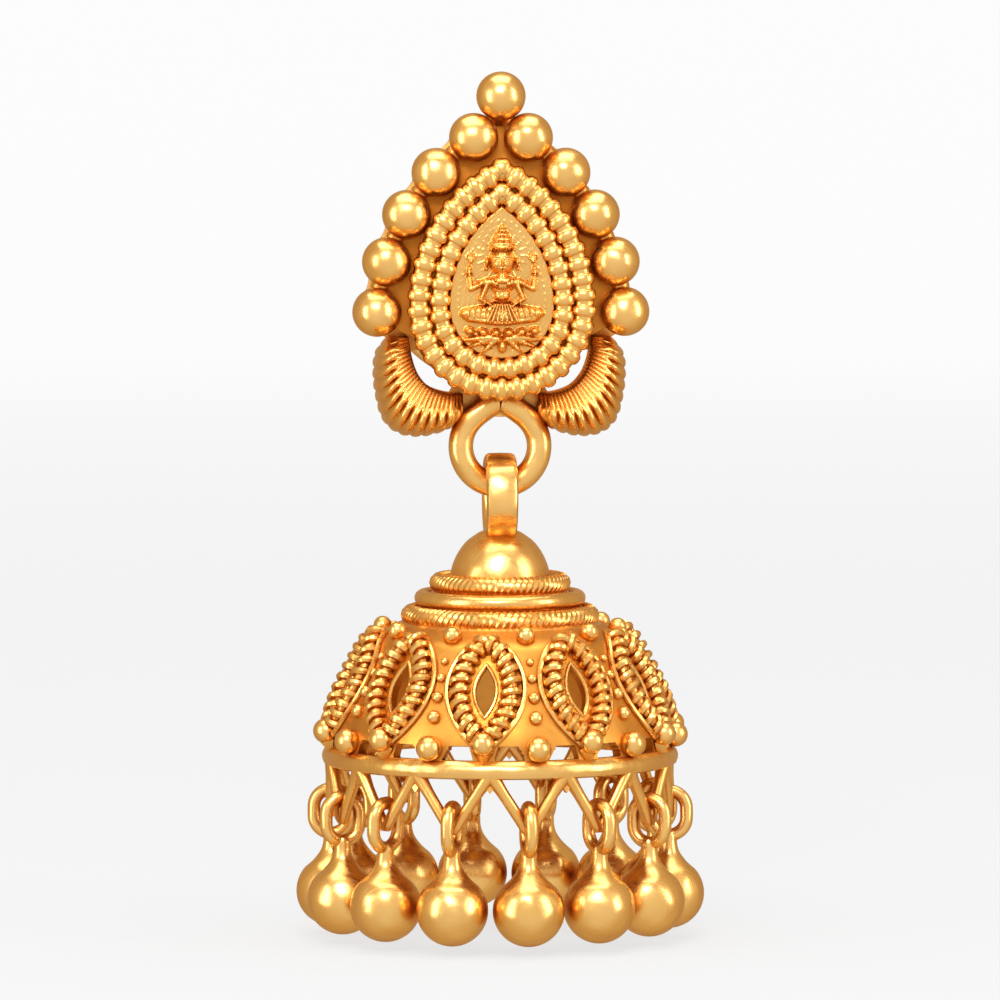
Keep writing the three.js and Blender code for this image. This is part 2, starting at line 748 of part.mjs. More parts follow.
function gallery() {
  const struts = [];
  for (let i = 0; i < dropCount; i += 1) {
    struts.push(strut(dropPhase + (i * 2 * Math.PI) / dropCount));
  }
  return gathered(struts);
}

function bell() {
  const spacing = (2 * Math.PI) / leafCount;
  const raised = [];
  const openings = [];
  for (let i = 0; i < leafCount; i += 1) {
    const leaf = leafPhase + i * spacing;
    const between = leaf + spacing / 2;
    const low = onWall(between, 1 - granuleRadius / wallHeight);
    raised.push(leafCoil(leaf), ballAt(low.place, granuleRadius, 6));
    openings.push(leafOpening(leaf), cornerOpening(between, -1), cornerOpening(between, 1));
  }
  const wall = shell().subtract(gathered(openings));
  return gathered([
    wall,
    eye(),
    bellRing(topRopeRadius, topRopeWire, topRopeHeight, ropeStrands),
    bellRing(plainRingRadius, plainRingWire, plainRingHeight),
    bellRing(lowRopeRadius, lowRopeWire, lowRopeHeight, ropeStrands),
    ...raised,
    gallery(),
  ]);
}

// One drop hangs in the point of its struts: its loop's wire rests between the two legs.
function drop(angle) {
  const seat = (strutWire + loopWire) / 2 + linkClearance;
  const loopTop = strutPoint + seat / Math.sin(strutLean());
  const loopCentre = loopTop - loopHalfHeight;
  const outwards = new THREE.Vector3(Math.sin(angle), -Math.cos(angle), 0);
  const aside = new THREE.Vector3(Math.cos(angle), Math.sin(angle), 0);

  const loop = new THREE.TorusGeometry(loopHalfWidth, loopWire / 2, 5, 8);
  const ends = loop.attributes.position;
  for (let i = 0; i < ends.count; i += 1) {
    const half = Math.sign(Math.round(ends.getY(i) / linkClearance));
    ends.setY(i, ends.getY(i) + half * (loopHalfHeight - loopHalfWidth));
  }
  placed(loop, around(angle, galleryRadius, loopCentre), [outwards, upwards, aside]);

  const neckTop = loopCentre - loopHalfHeight;
  const neckFoot = neckTop - neckLength;
  const reach = Math.sqrt(dropRadius ** 2 - neckRadius ** 2);
  const ballCentre = neckFoot - reach;
  const profile = [
    [0, neckTop + loopWire / 4],
    [neckTopRadius, neckTop + loopWire / 4],
    [neckRadius, neckFoot],
  ];
  const rows = 5;
  const start = Math.asin(neckRadius / dropRadius);
  for (let i = 1; i <= rows; i += 1) {
    const turn = start + ((Math.PI - start) * i) / rows;
    const radius = i === rows ? 0 : dropRadius * Math.sin(turn);
    profile.push([radius, ballCentre + dropRadius * Math.cos(turn)]);
  }
  const ball = new THREE.LatheGeometry(profile.map(([r, y]) => new THREE.Vector2(r, y)), roundSides);
  ball.rotateX(90 * degree);
  ball.translate(galleryRadius * Math.sin(angle), bellAxisY - galleryRadius * Math.cos(angle), 0);
  return solid(loop).add(solid(ball));
}

const group = new THREE.Group();
group.name = 'jhumka_earring';
group.add(meshOf('stud', stud(), gold.stud));
group.add(meshOf('screw_nut', screwNut(), gold.nut));
group.add(meshOf('bell', bell(), gold.bell));
for (let i = 0; i < dropCount; i += 1) {
  const name = `drop_${String(i + 1).padStart(2, '0')}`;
  group.add(meshOf(name, drop(dropPhase + (i * 2 * Math.PI) / dropCount), gold.drop));
}

export default group;
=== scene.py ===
import json
import math

import bmesh
import bpy
import numpy as np
from mathutils import Matrix, Vector


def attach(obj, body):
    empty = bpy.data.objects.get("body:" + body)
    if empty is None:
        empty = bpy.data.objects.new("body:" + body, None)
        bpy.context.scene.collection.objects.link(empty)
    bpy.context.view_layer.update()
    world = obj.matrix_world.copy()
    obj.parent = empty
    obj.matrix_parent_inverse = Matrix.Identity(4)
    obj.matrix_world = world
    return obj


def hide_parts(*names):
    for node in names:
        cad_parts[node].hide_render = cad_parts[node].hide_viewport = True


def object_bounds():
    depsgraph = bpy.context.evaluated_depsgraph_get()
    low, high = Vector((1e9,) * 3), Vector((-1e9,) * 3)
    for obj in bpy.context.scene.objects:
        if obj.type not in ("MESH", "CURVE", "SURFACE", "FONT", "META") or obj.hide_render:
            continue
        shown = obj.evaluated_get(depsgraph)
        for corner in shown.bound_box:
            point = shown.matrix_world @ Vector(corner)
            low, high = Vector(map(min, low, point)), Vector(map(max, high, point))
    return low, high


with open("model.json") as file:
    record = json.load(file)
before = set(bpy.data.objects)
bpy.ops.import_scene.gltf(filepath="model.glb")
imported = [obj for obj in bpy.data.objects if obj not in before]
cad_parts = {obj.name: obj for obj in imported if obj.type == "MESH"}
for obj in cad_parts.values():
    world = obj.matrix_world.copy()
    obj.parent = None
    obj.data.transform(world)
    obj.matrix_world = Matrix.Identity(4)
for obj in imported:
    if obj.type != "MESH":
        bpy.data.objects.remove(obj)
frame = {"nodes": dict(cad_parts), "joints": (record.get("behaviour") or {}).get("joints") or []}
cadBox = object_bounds()
millimetre = 0.001

# Shapes are worked out in millimetres, on the frame's own axes, and turned to metres when finished.
swingJoint = next(joint for joint in frame["joints"] if joint["type"] == "hinge")
bellAxisY = swingJoint["pos_m"][1] / millimetre
pinHeight = swingJoint["pos_m"][2] / millimetre
dropNodes = sorted(name for name in frame["nodes"] if name.startswith("drop_"))
print("frame loaded:", len(frame["nodes"]), "nodes; the bell hangs at", round(pinHeight, 2), "mm")


def joinParts(parts):
    # each part is (points, faces); the faces are renumbered into one list
    points, faces, start = [], [], 0
    for partPoints, partFaces in parts:
        points.extend(tuple(point) for point in partPoints)
        faces.extend(tuple(index + start for index in face) for face in partFaces)
        start += len(partPoints)
    return points, faces


def makeMesh(name, points, faces, edges=()):
    mesh = bpy.data.meshes.new(name)
    mesh.from_pydata([tuple(map(float, point)) for point in points], list(edges), list(faces))
    mesh.update()
    return mesh


def mergeMeshes(meshes):
    bm = bmesh.new()
    for mesh in meshes:
        bm.from_mesh(mesh)
    mesh = bpy.data.meshes.new("merged")
    bm.to_mesh(mesh)
    bm.free()
    return mesh


def outwardNormals(mesh):
    bm = bmesh.new()
    bm.from_mesh(mesh)
    bmesh.ops.remove_doubles(bm, verts=bm.verts, dist=0.0005)
    bmesh.ops.recalc_face_normals(bm, faces=bm.faces)
    bm.to_mesh(mesh)
    bm.free()


def finishPiece(name, shape, material, body, sharpAngle=38, recalc=True):
    # metres, outward faces, smooth with crisp edges, and riding on its body
    # a shape is a mesh, or its points and faces
    mesh = shape if isinstance(shape, bpy.types.Mesh) else makeMesh(name, *shape)
    if recalc:
        outwardNormals(mesh)
    mesh.transform(Matrix.Scale(millimetre, 4))
    mesh.materials.clear()
    mesh.materials.append(material)
    mesh.polygons.foreach_set("use_smooth", [True] * len(mesh.polygons))
    mesh.set_sharp_from_angle(angle=math.radians(sharpAngle))
    piece = bpy.data.objects.new(name, mesh)
    bpy.context.scene.collection.objects.link(piece)
    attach(piece, body)
    return piece


def addNode(tree, kind, inputs=None, **settings):
    # adds a node, sets its properties, then fills or links its sockets
    node = tree.nodes.new(kind)
    for key, value in settings.items():
        setattr(node, key, value)
    for key, value in (inputs or {}).items():
        socket = node.inputs[key]
        if isinstance(value, bpy.types.NodeSocket):
            tree.links.new(value, socket)
        else:
            socket.default_value = value
    return node


# Gold

def linearColour(hexColour):
    parts = [int(hexColour[i:i + 2], 16) / 255 for i in (1, 3, 5)]
    linear = [part / 12.92 if part <= 0.04045 else ((part + 0.055) / 1.055) ** 2.4 for part in parts]
    return (*linear, 1)


def goldMaterial(name, goldLook):
    # 22 carat gold: cast or drawn, tumbled to a satin skin, then burnished by hand where it stands out
    material = bpy.data.materials.new(name)
    material.use_nodes = True
    tree = material.node_tree
    tree.nodes.clear()
    place = addNode(tree, "ShaderNodeTexCoord").outputs["Object"]
    perMetre = 1 / millimetre
    clouds = addNode(tree, "ShaderNodeTexNoise", {
        "Vector": place, "Scale": perMetre / goldLook["cloudSize"], "Detail": 3, "Roughness": 0.55})
    skin = addNode(tree, "ShaderNodeTexNoise", {
        "Vector": place, "Scale": perMetre / goldLook["skinSize"], "Detail": 4, "Roughness": 0.6})
    hammer = addNode(tree, "ShaderNodeTexNoise", {
        "Vector": place, "Scale": perMetre / goldLook["dentSize"], "Detail": 1, "Roughness": 0.4})
    scratches = addNode(tree, "ShaderNodeTexNoise", {
        "Vector": addNode(tree, "ShaderNodeMapping", {
            "Vector": place, "Rotation": (0.5, 0.3, 0.9), "Scale": (1, 14, 1)}).outputs["Vector"],
        "Scale": perMetre / goldLook["scratchLength"], "Detail": 2, "Roughness": 0.7})
    # painted shade: an ambient occlusion mask darkens recesses to a deeper orange, standing in for the shade
    # and interreflection there; the same mask makes them a little rougher, as polishing never reaches them
    recessShade = addNode(tree, "ShaderNodeAmbientOcclusion", {
        "Distance": goldLook["shadeReach"] * millimetre}, samples=2)
    # the occlusion mask, from 0 in deep hollows to 1 in the open, drives the painted shade below
    depth = addNode(tree, "ShaderNodeMapRange", {
        "Value": recessShade.outputs["AO"], "From Min": 0.25, "From Max": 0.85, "To Min": 0, "To Max": 1})
    bright = addNode(tree, "ShaderNodeMix", {
        0: clouds.outputs["Fac"], 6: linearColour(goldLook["deep"]), 7: linearColour(goldLook["bright"])},
        data_type="RGBA")
    # painted shade: where the occlusion mask is low, the gold turns to its darker recess shade colour
    colour = addNode(tree, "ShaderNodeMix", {
        0: depth.outputs["Result"], 6: linearColour(goldLook["recessShade"]), 7: bright.outputs[2]},
        data_type="RGBA")
    roughness = addNode(tree, "ShaderNodeMapRange", {
        "Value": scratches.outputs["Fac"], "From Min": 0.3, "From Max": 0.7,
        "To Min": goldLook["roughness"] - 0.05, "To Max": goldLook["roughness"] + 0.07})
    worn = addNode(tree, "ShaderNodeMapRange", {
        "Value": depth.outputs["Result"], "From Min": 0, "From Max": 1, "To Min": 0.14, "To Max": 0})
    totalRoughness = addNode(tree, "ShaderNodeMath", {
        0: roughness.outputs["Result"], 1: worn.outputs["Result"]}, operation="ADD")
    dents = addNode(tree, "ShaderNodeBump", {
        "Height": hammer.outputs["Fac"], "Strength": goldLook["dentStrength"],
        "Distance": goldLook["dentDepth"] * millimetre})
    grain = addNode(tree, "ShaderNodeBump", {
        "Height": skin.outputs["Fac"], "Normal": dents.outputs["Normal"],
        "Strength": goldLook["skinStrength"], "Distance": goldLook["skinDepth"] * millimetre})
    surface = addNode(tree, "ShaderNodeBsdfPrincipled", {
        "Base Color": colour.outputs[2], "Metallic": 1.0, "Roughness": totalRoughness.outputs[0],
        "Normal": grain.outputs["Normal"]})
    addNode(tree, "ShaderNodeOutputMaterial", {"Surface": surface.outputs[0]})
    return material


# in each look, the colour for recesses is painted shade that the ambient occlusion mask lays into hollows,
# and the reach is how far that mask looks
satinLook = {
    "bright": "#F2C378", "deep": "#EAB35E", "recessShade": "#CE8230", "roughness": 0.3,
    "cloudSize": 1.6, "skinSize": 0.24, "skinStrength": 0.14, "skinDepth": 0.012,
    "dentSize": 0.9, "dentStrength": 0.3, "dentDepth": 0.05,
    "scratchLength": 1.2, "shadeReach": 0.55,
}
burnishedLook = dict(satinLook, bright="#F4C87E", deep="#EEBA68", roughness=0.27, skinStrength=0.08,
                     dentSize=1.0, dentStrength=0.8, dentDepth=0.13)
reliefLook = dict(satinLook, recessShade="#C47626", roughness=0.27, shadeReach=0.35, dentStrength=0.15)
# painted shade: the ground gold is a darker copy of the gold for surfaces that lie in hollows (the ball web,
# the dome's body and the bell wall); its higher roughness is the real unpolished finish
groundShadeLook = dict(satinLook, bright="#E2A652", deep="#D4903A", recessShade="#B46818", roughness=0.38,
                  shadeReach=0.9, skinStrength=0.3)
gold = {
    "satin": goldMaterial("satinGold", satinLook),
    "burnished": goldMaterial("burnishedGold", burnishedLook),
    "relief": goldMaterial("castReliefGold", reliefLook),
    "groundShade": goldMaterial("roughGroundGoldPaintedShade", groundShadeLook),
}
print("gold mixed:", ", ".join(gold))


# Shared ways of making metal: turned, drawn as wire, cut from sheet

def turned(profile, steps=96, axis="z", centre=(0, 0, 0), closed=False):
    # a lathe: profile rows are (radius, along the axis)
    points, faces, rings = [], [], []
    for radius, along in profile:
        if radius < 1e-6:
            rings.append([len(points)] * steps)
            points.append((0, 0, along))
            continue
        rings.append(list(range(len(points), len(points) + steps)))
        for i in range(steps):
            turn = 2 * math.pi * i / steps
            points.append((radius * math.cos(turn), radius * math.sin(turn), along))
    pairs = list(zip(rings, rings[1:])) + ([(rings[-1], rings[0])] if closed else [])
    for low, high in pairs:
        for i in range(steps):
            j = (i + 1) % steps
            corner = [low[i], low[j], high[j], high[i]]
            face = [index for k, index in enumerate(corner) if index not in corner[:k]]
            if len(face) > 2:
                faces.append(tuple(face))
    points = np.array(points)
    if axis == "y":
        points = points[:, [0, 2, 1]] * [1, 1, -1]
    if axis == "x":
        points = points[:, [2, 0, 1]]
    return points + np.array(centre), faces


def smoothLine(points, steps, closed=False):
    # a Catmull-Rom line through chosen points, evenly spaced
    knots = np.array(points, dtype=float)
    count = len(knots)
    spans = count if closed else count - 1
    fine = []
    for span in range(spans):
        rows = [knots[(span + k) % count] if closed else knots[min(max(span + k, 0), count - 1)]
                for k in (-1, 0, 1, 2)]
        for t in np.linspace(0, 1, 24, endpoint=False):
            fine.append(0.5 * (2 * rows[1] + (rows[2] - rows[0]) * t
                               + (2 * rows[0] - 5 * rows[1] + 4 * rows[2] - rows[3]) * t ** 2
                               + (3 * rows[1] - rows[0] - 3 * rows[2] + rows[3]) * t ** 3))
    fine.append(knots[0] if closed else knots[-1])
    return evenly(np.array(fine), steps, closed)


def evenly(line, steps, closed=False):
    lengths = np.concatenate([[0], np.cumsum(np.linalg.norm(np.diff(line, axis=0), axis=1))])
    marks = np.linspace(0, lengths[-1], steps + 1 if closed else steps)
    if closed:
        marks = marks[:-1]
    return np.stack([np.interp(marks, lengths, line[:, k]) for k in range(line.shape[1])], axis=1)


def drawn(path, radius, sides=16, closed=False, flat=1.0, up=None):
    # wire or strap along a path; radius may change along it, flat squashes the section along up
    path = np.array(path, dtype=float)
    count = len(path)
    radii = np.full(count, radius) if np.isscalar(radius) else np.array(radius, dtype=float)
    if closed:
        tangents = np.roll(path, -1, axis=0) - np.roll(path, 1, axis=0)
    else:
        tangents = np.gradient(path, axis=0)
    tangents /= np.linalg.norm(tangents, axis=1)[:, None]
    if up is None:
        seed = np.eye(3)[np.argmin(np.abs(tangents[0]))]
        side = np.cross(tangents[0], seed)
        sidesList = []
        for tangent in tangents:
            side = side - tangent * np.dot(side, tangent)
            side = side / np.linalg.norm(side)
            sidesList.append(side)
        sideways = np.array(sidesList)
        if closed:
            # spread the leftover twist round the loop so that the ends meet
            last = sideways[-1] - tangents[0] * np.dot(sideways[-1], tangents[0])
            last /= np.linalg.norm(last)
            twist = math.atan2(np.dot(np.cross(last, sideways[0]), tangents[0]), np.dot(last, sideways[0]))
            for i in range(count):
                turn = twist * i / count
                sideways[i] = (sideways[i] * math.cos(turn)
                               + np.cross(tangents[i], sideways[i]) * math.sin(turn))
    else:
        sideways = np.cross(np.broadcast_to(np.array(up, dtype=float), tangents.shape), tangents)
        sideways /= np.linalg.norm(sideways, axis=1)[:, None]
    upward = np.cross(tangents, sideways)
    turns = np.arange(sides) * 2 * math.pi / sides
    points = (path[:, None] + radii[:, None, None]
              * (np.cos(turns)[None, :, None] * sideways[:, None]
                 + flat * np.sin(turns)[None, :, None] * upward[:, None])).reshape(-1, 3)
    faces = []
    for i in range(count if closed else count - 1):
        a, b = i * sides, ((i + 1) % count) * sides
        faces.extend((a + k, a + (k + 1) % sides, b + (k + 1) % sides, b + k) for k in range(sides))
    if not closed:
        faces.append(tuple(range(sides)))
        faces.append(tuple(reversed(range((count - 1) * sides, count * sides))))
    return points, faces


def sheetMesh(name, outline, holes, back, front, bevel, segments=3):
    # sheet cut to a drawing in x and z, between two distances in front of the plate's back
    bm = bmesh.new()
    edges = []
    for loop in [outline, *holes]:
        verts = [bm.verts.new((x, -back, z)) for x, z in loop]
        edges += [bm.edges.new((verts[i], verts[(i + 1) % len(verts)])) for i in range(len(verts))]
    bmesh.ops.triangle_fill(bm, use_beauty=True, edges=edges)
    made = bmesh.ops.extrude_face_region(bm, geom=bm.faces[:])
    moved = [item for item in made["geom"] if isinstance(item, bmesh.types.BMVert)]
    bmesh.ops.translate(bm, verts=moved, vec=(0, back - front, 0))
    bmesh.ops.recalc_face_normals(bm, faces=bm.faces)
    rims = [edge for edge in bm.edges if len(edge.link_faces) == 2
            and edge.calc_face_angle() > 1.2 and abs(edge.verts[0].co.y - edge.verts[1].co.y) < 1e-6]
    if bevel:
        bmesh.ops.bevel(bm, geom=rims, offset=bevel, segments=segments, profile=0.5, affect="EDGES",
                        clamp_overlap=True)
    mesh = bpy.data.meshes.new(name)
    bm.to_mesh(mesh)
    bm.free()
    return mesh


def ballPart(centre, radius, steps):
    turns = [math.pi * 2 * k / steps for k in range(1, steps // 2)]
    profile = [(radius * math.sin(turn), -radius * math.cos(turn)) for turn in turns]
    return turned([(0, -radius), *profile, (0, radius)], steps, centre=centre)


# Geometry Nodes trees: each has its sizes as named inputs, and ends in real geometry with a material

def newTree(name, sockets):
    tree = bpy.data.node_groups.new(name, "GeometryNodeTree")
    tree.interface.new_socket("Geometry", in_out="INPUT", socket_type="NodeSocketGeometry")
    for label, kind in sockets:
        tree.interface.new_socket(label, in_out="INPUT", socket_type=kind)
    tree.interface.new_socket("Material", in_out="INPUT", socket_type="NodeSocketMaterial")
    tree.interface.new_socket("Geometry", in_out="OUTPUT", socket_type="NodeSocketGeometry")
    return tree, addNode(tree, "NodeGroupInput").outputs


def endTree(tree, geometry, inputs):
    real = addNode(tree, "GeometryNodeRealizeInstances", {"Geometry": geometry})
    painted = addNode(tree, "GeometryNodeSetMaterial", {
        "Geometry": real.outputs[0], "Material": inputs["Material"]})
    addNode(tree, "NodeGroupOutput", {0: painted.outputs[0]})


def coilTree():
    # wire wound in a helix about every line of the input; several strands make a rope
    floats = ["Turns", "Coil Radius", "Wire Radius"]
    whole = ["Steps Per Turn", "Wire Sides"]
    tree, inputs = newTree("woundWire", [(label, "NodeSocketFloat") for label in floats]
                           + [(label, "NodeSocketInt") for label in whole] + [("Phase", "NodeSocketFloat")])
    lines = addNode(tree, "GeometryNodeMeshToCurve", {0: inputs["Geometry"]})
    steps = addNode(tree, "ShaderNodeMath", {0: inputs["Turns"], 1: inputs["Steps Per Turn"]},
                    operation="MULTIPLY")
    fine = addNode(tree, "GeometryNodeResampleCurve", {"Curve": lines.outputs[0], "Count": steps.outputs[0]})
    tangent = addNode(tree, "GeometryNodeInputTangent").outputs[0]
    normal = addNode(tree, "GeometryNodeInputNormal").outputs[0]
    aside = addNode(tree, "ShaderNodeVectorMath", {0: tangent, 1: normal}, operation="CROSS_PRODUCT")
    along = addNode(tree, "GeometryNodeSplineParameter").outputs["Factor"]
    turnsSoFar = addNode(tree, "ShaderNodeMath", {0: along, 1: inputs["Turns"]}, operation="MULTIPLY")
    angle = addNode(tree, "ShaderNodeMath", {0: turnsSoFar.outputs[0], 1: 2 * math.pi, 2: inputs["Phase"]},
                    operation="MULTIPLY_ADD")
    shares = []
    for direction, wave in ((normal, "COSINE"), (aside.outputs[0], "SINE")):
        share = addNode(tree, "ShaderNodeMath", {0: angle.outputs[0]}, operation=wave)
        reach = addNode(tree, "ShaderNodeMath", {0: share.outputs[0], 1: inputs["Coil Radius"]},
                        operation="MULTIPLY")
        shares.append(addNode(tree, "ShaderNodeVectorMath", {0: direction, "Scale": reach.outputs[0]},
                              operation="SCALE").outputs[0])
    shift = addNode(tree, "ShaderNodeVectorMath", {0: shares[0], 1: shares[1]}, operation="ADD")
    wound = addNode(tree, "GeometryNodeSetPosition", {
        "Geometry": fine.outputs[0], "Offset": shift.outputs[0]})
    section = addNode(tree, "GeometryNodeCurvePrimitiveCircle", {
        "Resolution": inputs["Wire Sides"], "Radius": inputs["Wire Radius"]}, mode="RADIUS")
    wire = addNode(tree, "GeometryNodeCurveToMesh", {
        "Curve": wound.outputs[0], "Profile Curve": section.outputs[0], "Fill Caps": True})
    endTree(tree, wire.outputs[0], inputs)
    return tree


def beadTree():
    # a round bead on every point of the input, each turned a little its own way
    tree, inputs = newTree("beads", [("Radius", "NodeSocketFloat"), ("Segments", "NodeSocketInt"),
                                     ("Seed", "NodeSocketInt")])
    points = addNode(tree, "GeometryNodeMeshToPoints", {"Mesh": inputs["Geometry"]})
    bead = addNode(tree, "GeometryNodeMeshUVSphere", {
        "Radius": inputs["Radius"], "Segments": inputs["Segments"], "Rings": inputs["Segments"]})
    turn = addNode(tree, "FunctionNodeRandomValue", {
        0: (0, 0, 0), 1: (3.1, 3.1, 3.1), "Seed": inputs["Seed"]}, data_type="FLOAT_VECTOR")
    placed = addNode(tree, "GeometryNodeInstanceOnPoints", {
        "Points": points.outputs[0], "Instance": bead.outputs["Mesh"], "Rotation": turn.outputs[0]})
    endTree(tree, placed.outputs[0], inputs)
    return tree


def roundTree():
    # copies of the input set round the upright axis
    tree, inputs = newTree("setRound", [("Count", "NodeSocketInt"), ("Phase", "NodeSocketFloat")])
    places = addNode(tree, "GeometryNodeMeshLine", {"Count": inputs["Count"], "Offset": (0, 0, 0)})
    index = addNode(tree, "GeometryNodeInputIndex").outputs[0]
    share = addNode(tree, "ShaderNodeMath", {0: index, 1: inputs["Count"]}, operation="DIVIDE")
    angle = addNode(tree, "ShaderNodeMath", {0: share.outputs[0], 1: 2 * math.pi, 2: inputs["Phase"]},
                    operation="MULTIPLY_ADD")
    turn = addNode(tree, "ShaderNodeCombineXYZ", {"Z": angle.outputs[0]})
    placed = addNode(tree, "GeometryNodeInstanceOnPoints", {
        "Points": places.outputs[0], "Instance": inputs["Geometry"], "Rotation": turn.outputs[0]})
    endTree(tree, placed.outputs[0], inputs)
    return tree


trees = {"coil": coilTree(), "beads": beadTree(), "round": roundTree()}
print("node trees built:", ", ".join(trees))


def grown(treeName, mesh, material, sizes):
    # runs a tree on a mesh and gives back the plain mesh that it makes
    holder = bpy.data.objects.new("grow", mesh)
    bpy.context.scene.collection.objects.link(holder)
    modifier = holder.modifiers.new("grow", "NODES")
    tree = trees[treeName]
    sockets = {item.name: item.identifier for item in tree.interface.items_tree
               if item.item_type == "SOCKET" and item.in_out == "INPUT"}
    for label, value in sizes.items():
        modifier[sockets[label]] = value
    modifier[sockets["Material"]] = material
    modifier.node_group = tree
    holder.update_tag()
    graph = bpy.context.evaluated_depsgraph_get()
    made = bpy.data.meshes.new_from_object(holder.evaluated_get(graph), depsgraph=graph)
    bpy.data.objects.remove(holder)
    return made


def lineMesh(name, line, closed=False):
    # a line of points joined by edges, as a path for a tree
    edges = [(i, i + 1) for i in range(len(line) - 1)]
    return makeMesh(name, line, [], edges + ([(len(line) - 1, 0)] if closed else []))


def frontPoint(x, z, depth):
    return np.array([x, -depth, z])


# Stud: the sheet plate on the lobe, the web that carries the border balls, and the balls

border = {
    "ballRadius": 0.915, "ballDepth": 1.67, "pairs": 5, "arcRadius": 9.04, "arcAcross": 4.4, "arcDrop": 1.9,
    "firstAngle": 4.97, "step": 12.06, "topRise": 6.87,
    "neckRadius": 0.46, "solderRadius": 0.34, "solderDepth": 1.36,
}
plate = {
    "thickness": 0.35, "reach": 0.5, "scallop": 0.12, "edge": 0.07, "lowHeight": -2.6, "lowHalf": 3.4,
    "webReach": 0.1, "webFront": 1.35, "webEdge": 0.12, "webLowHeight": -2.1, "webLowHalf": 3.2,
}


def borderPlace(index, side, reach=0.0):
    angle = math.radians(border["firstAngle"] + index * border["step"])
    radius = border["arcRadius"] + reach
    return (side * (radius * math.cos(angle) - border["arcAcross"]),
            radius * math.sin(angle) - border["arcDrop"])


def plateOutline(reach, lowIndex, lowHeight, lowHalf):
    # scallops a little beyond each ball, then in to the lower edge
    right = []
    for step in np.linspace(lowIndex, border["pairs"] - 0.62, 60):
        right.append(borderPlace(step, 1, reach + plate["scallop"] * math.cos(2 * math.pi * step)))
    half = [(lowHalf / 2, lowHeight), (lowHalf, lowHeight), *right]
    return [(0, lowHeight), *half, *((-x, z) for x, z in reversed(half))]


teardrop = {
    "halfWidth": 3.45, "tip": 4.6, "drop": 0.9, "bodyFront": 1.95,
    "outerRow": 0.78, "innerRow": 0.72, "outerTurns": 38, "innerTurns": 29, "rowDepth": 2.12,
    "rowFlatness": 0.78, "ribSwell": 0.07, "ribDepth": 0.12, "ribShare": 0.68,
    "sheetInset": 0.06, "sheetBack": 0.2, "sheetEdge": 0.22,
}
tearHeight = teardrop["tip"] + teardrop["drop"]
tearArc = (teardrop["halfWidth"] ** 2 + tearHeight ** 2) / (2 * teardrop["halfWidth"])


def tearOutline(inset, steps):
    # two arcs from the tip and a half circle below, moved inwards by the inset
    centre = tearArc - teardrop["halfWidth"]
    side = tearArc - inset
    tip = math.acos(centre / side)
    low = teardrop["halfWidth"] - inset
    right = [(-centre + side * math.cos(a), -teardrop["drop"] + side * math.sin(a))
             for a in np.linspace(tip, 0, 60)]
    bottom = [(low * math.cos(a), -teardrop["drop"] + low * math.sin(a))
              for a in np.linspace(0, -math.pi, 90)]
    left = [(-x, z) for x, z in reversed(right)]
    return evenly(np.array(right + bottom[1:] + left[1:]), steps, closed=True)


horns = {
    "inner": 1.4, "width": 3.26, "top": 2.2, "height": 3.55, "back": 1.05, "front": 2.5,
    "outerEdge": [(0.84, -0.04), (0.97, 0.12), (1.0, 0.3), (0.98, 0.55), (0.9, 0.82), (0.74, 0.96),
                  (0.52, 1.0), (0.3, 0.97), (0.12, 0.9), (0.0, 0.78)],
    "innerEdge": [(0.62, -0.04), (0.59, 0.16), (0.52, 0.34), (0.4, 0.47), (0.26, 0.53), (0.12, 0.555),
                  (0.0, 0.56)],
    "boldFlutes": 15, "fineFlutes": 26, "boldDepth": 0.242, "fineDepth": 0.084, "edgeDepth": 0.09,
    "ridge": 0.47, "lean": 0.022, "rimDepth": 1.1, "backDepth": 0.22,
}


def hornLine(rows, steps):
    places = [(horns["inner"] + across * horns["width"], -(horns["top"] + down * horns["height"]))
              for across, down in rows]
    return smoothLine(places, steps)


def hornGap(side):
    # the crescent left open between a horn and the teardrop
    inner = hornLine(horns["innerEdge"], 24)[:21]
    centre = np.array([0, -teardrop["drop"]])
    turnA = math.atan2(*(inner[-1] - centre)[::-1])
    turnB = math.atan2(*(inner[0] - centre)[::-1])
    radius = teardrop["halfWidth"] - 0.02
    arc = [centre + radius * np.array([math.cos(a), math.sin(a)]) for a in np.linspace(turnA, turnB, 16)]
    return [(side * x, z) for x, z in list(inner) + arc]


def studPlate():
    # upper sheet behind the balls, with a narrower sheet behind the horns
    upper = plateOutline(plate["reach"], -0.25, plate["lowHeight"], plate["lowHalf"])
    half = [(3.6, -5.1), (4.25, -4.2), (4.45, -2.5), (3.3, -1.6)]
    lower = [(0, -5.1), *half, (0, -1.2), *((-x, z) for x, z in reversed(half))]
    between = plateOutline(plate["webReach"], -0.1, plate["webLowHeight"], plate["webLowHalf"])
    thickness = plate["thickness"]
    return (sheetMesh("upperPlate", upper, [], 0, thickness, plate["edge"]),
            sheetMesh("lowerPlate", lower, [hornGap(1), hornGap(-1)], 0.02, thickness - 0.02, 0.05),
            sheetMesh("web", between, [], thickness - 0.1, plate["webFront"], plate["webEdge"]))


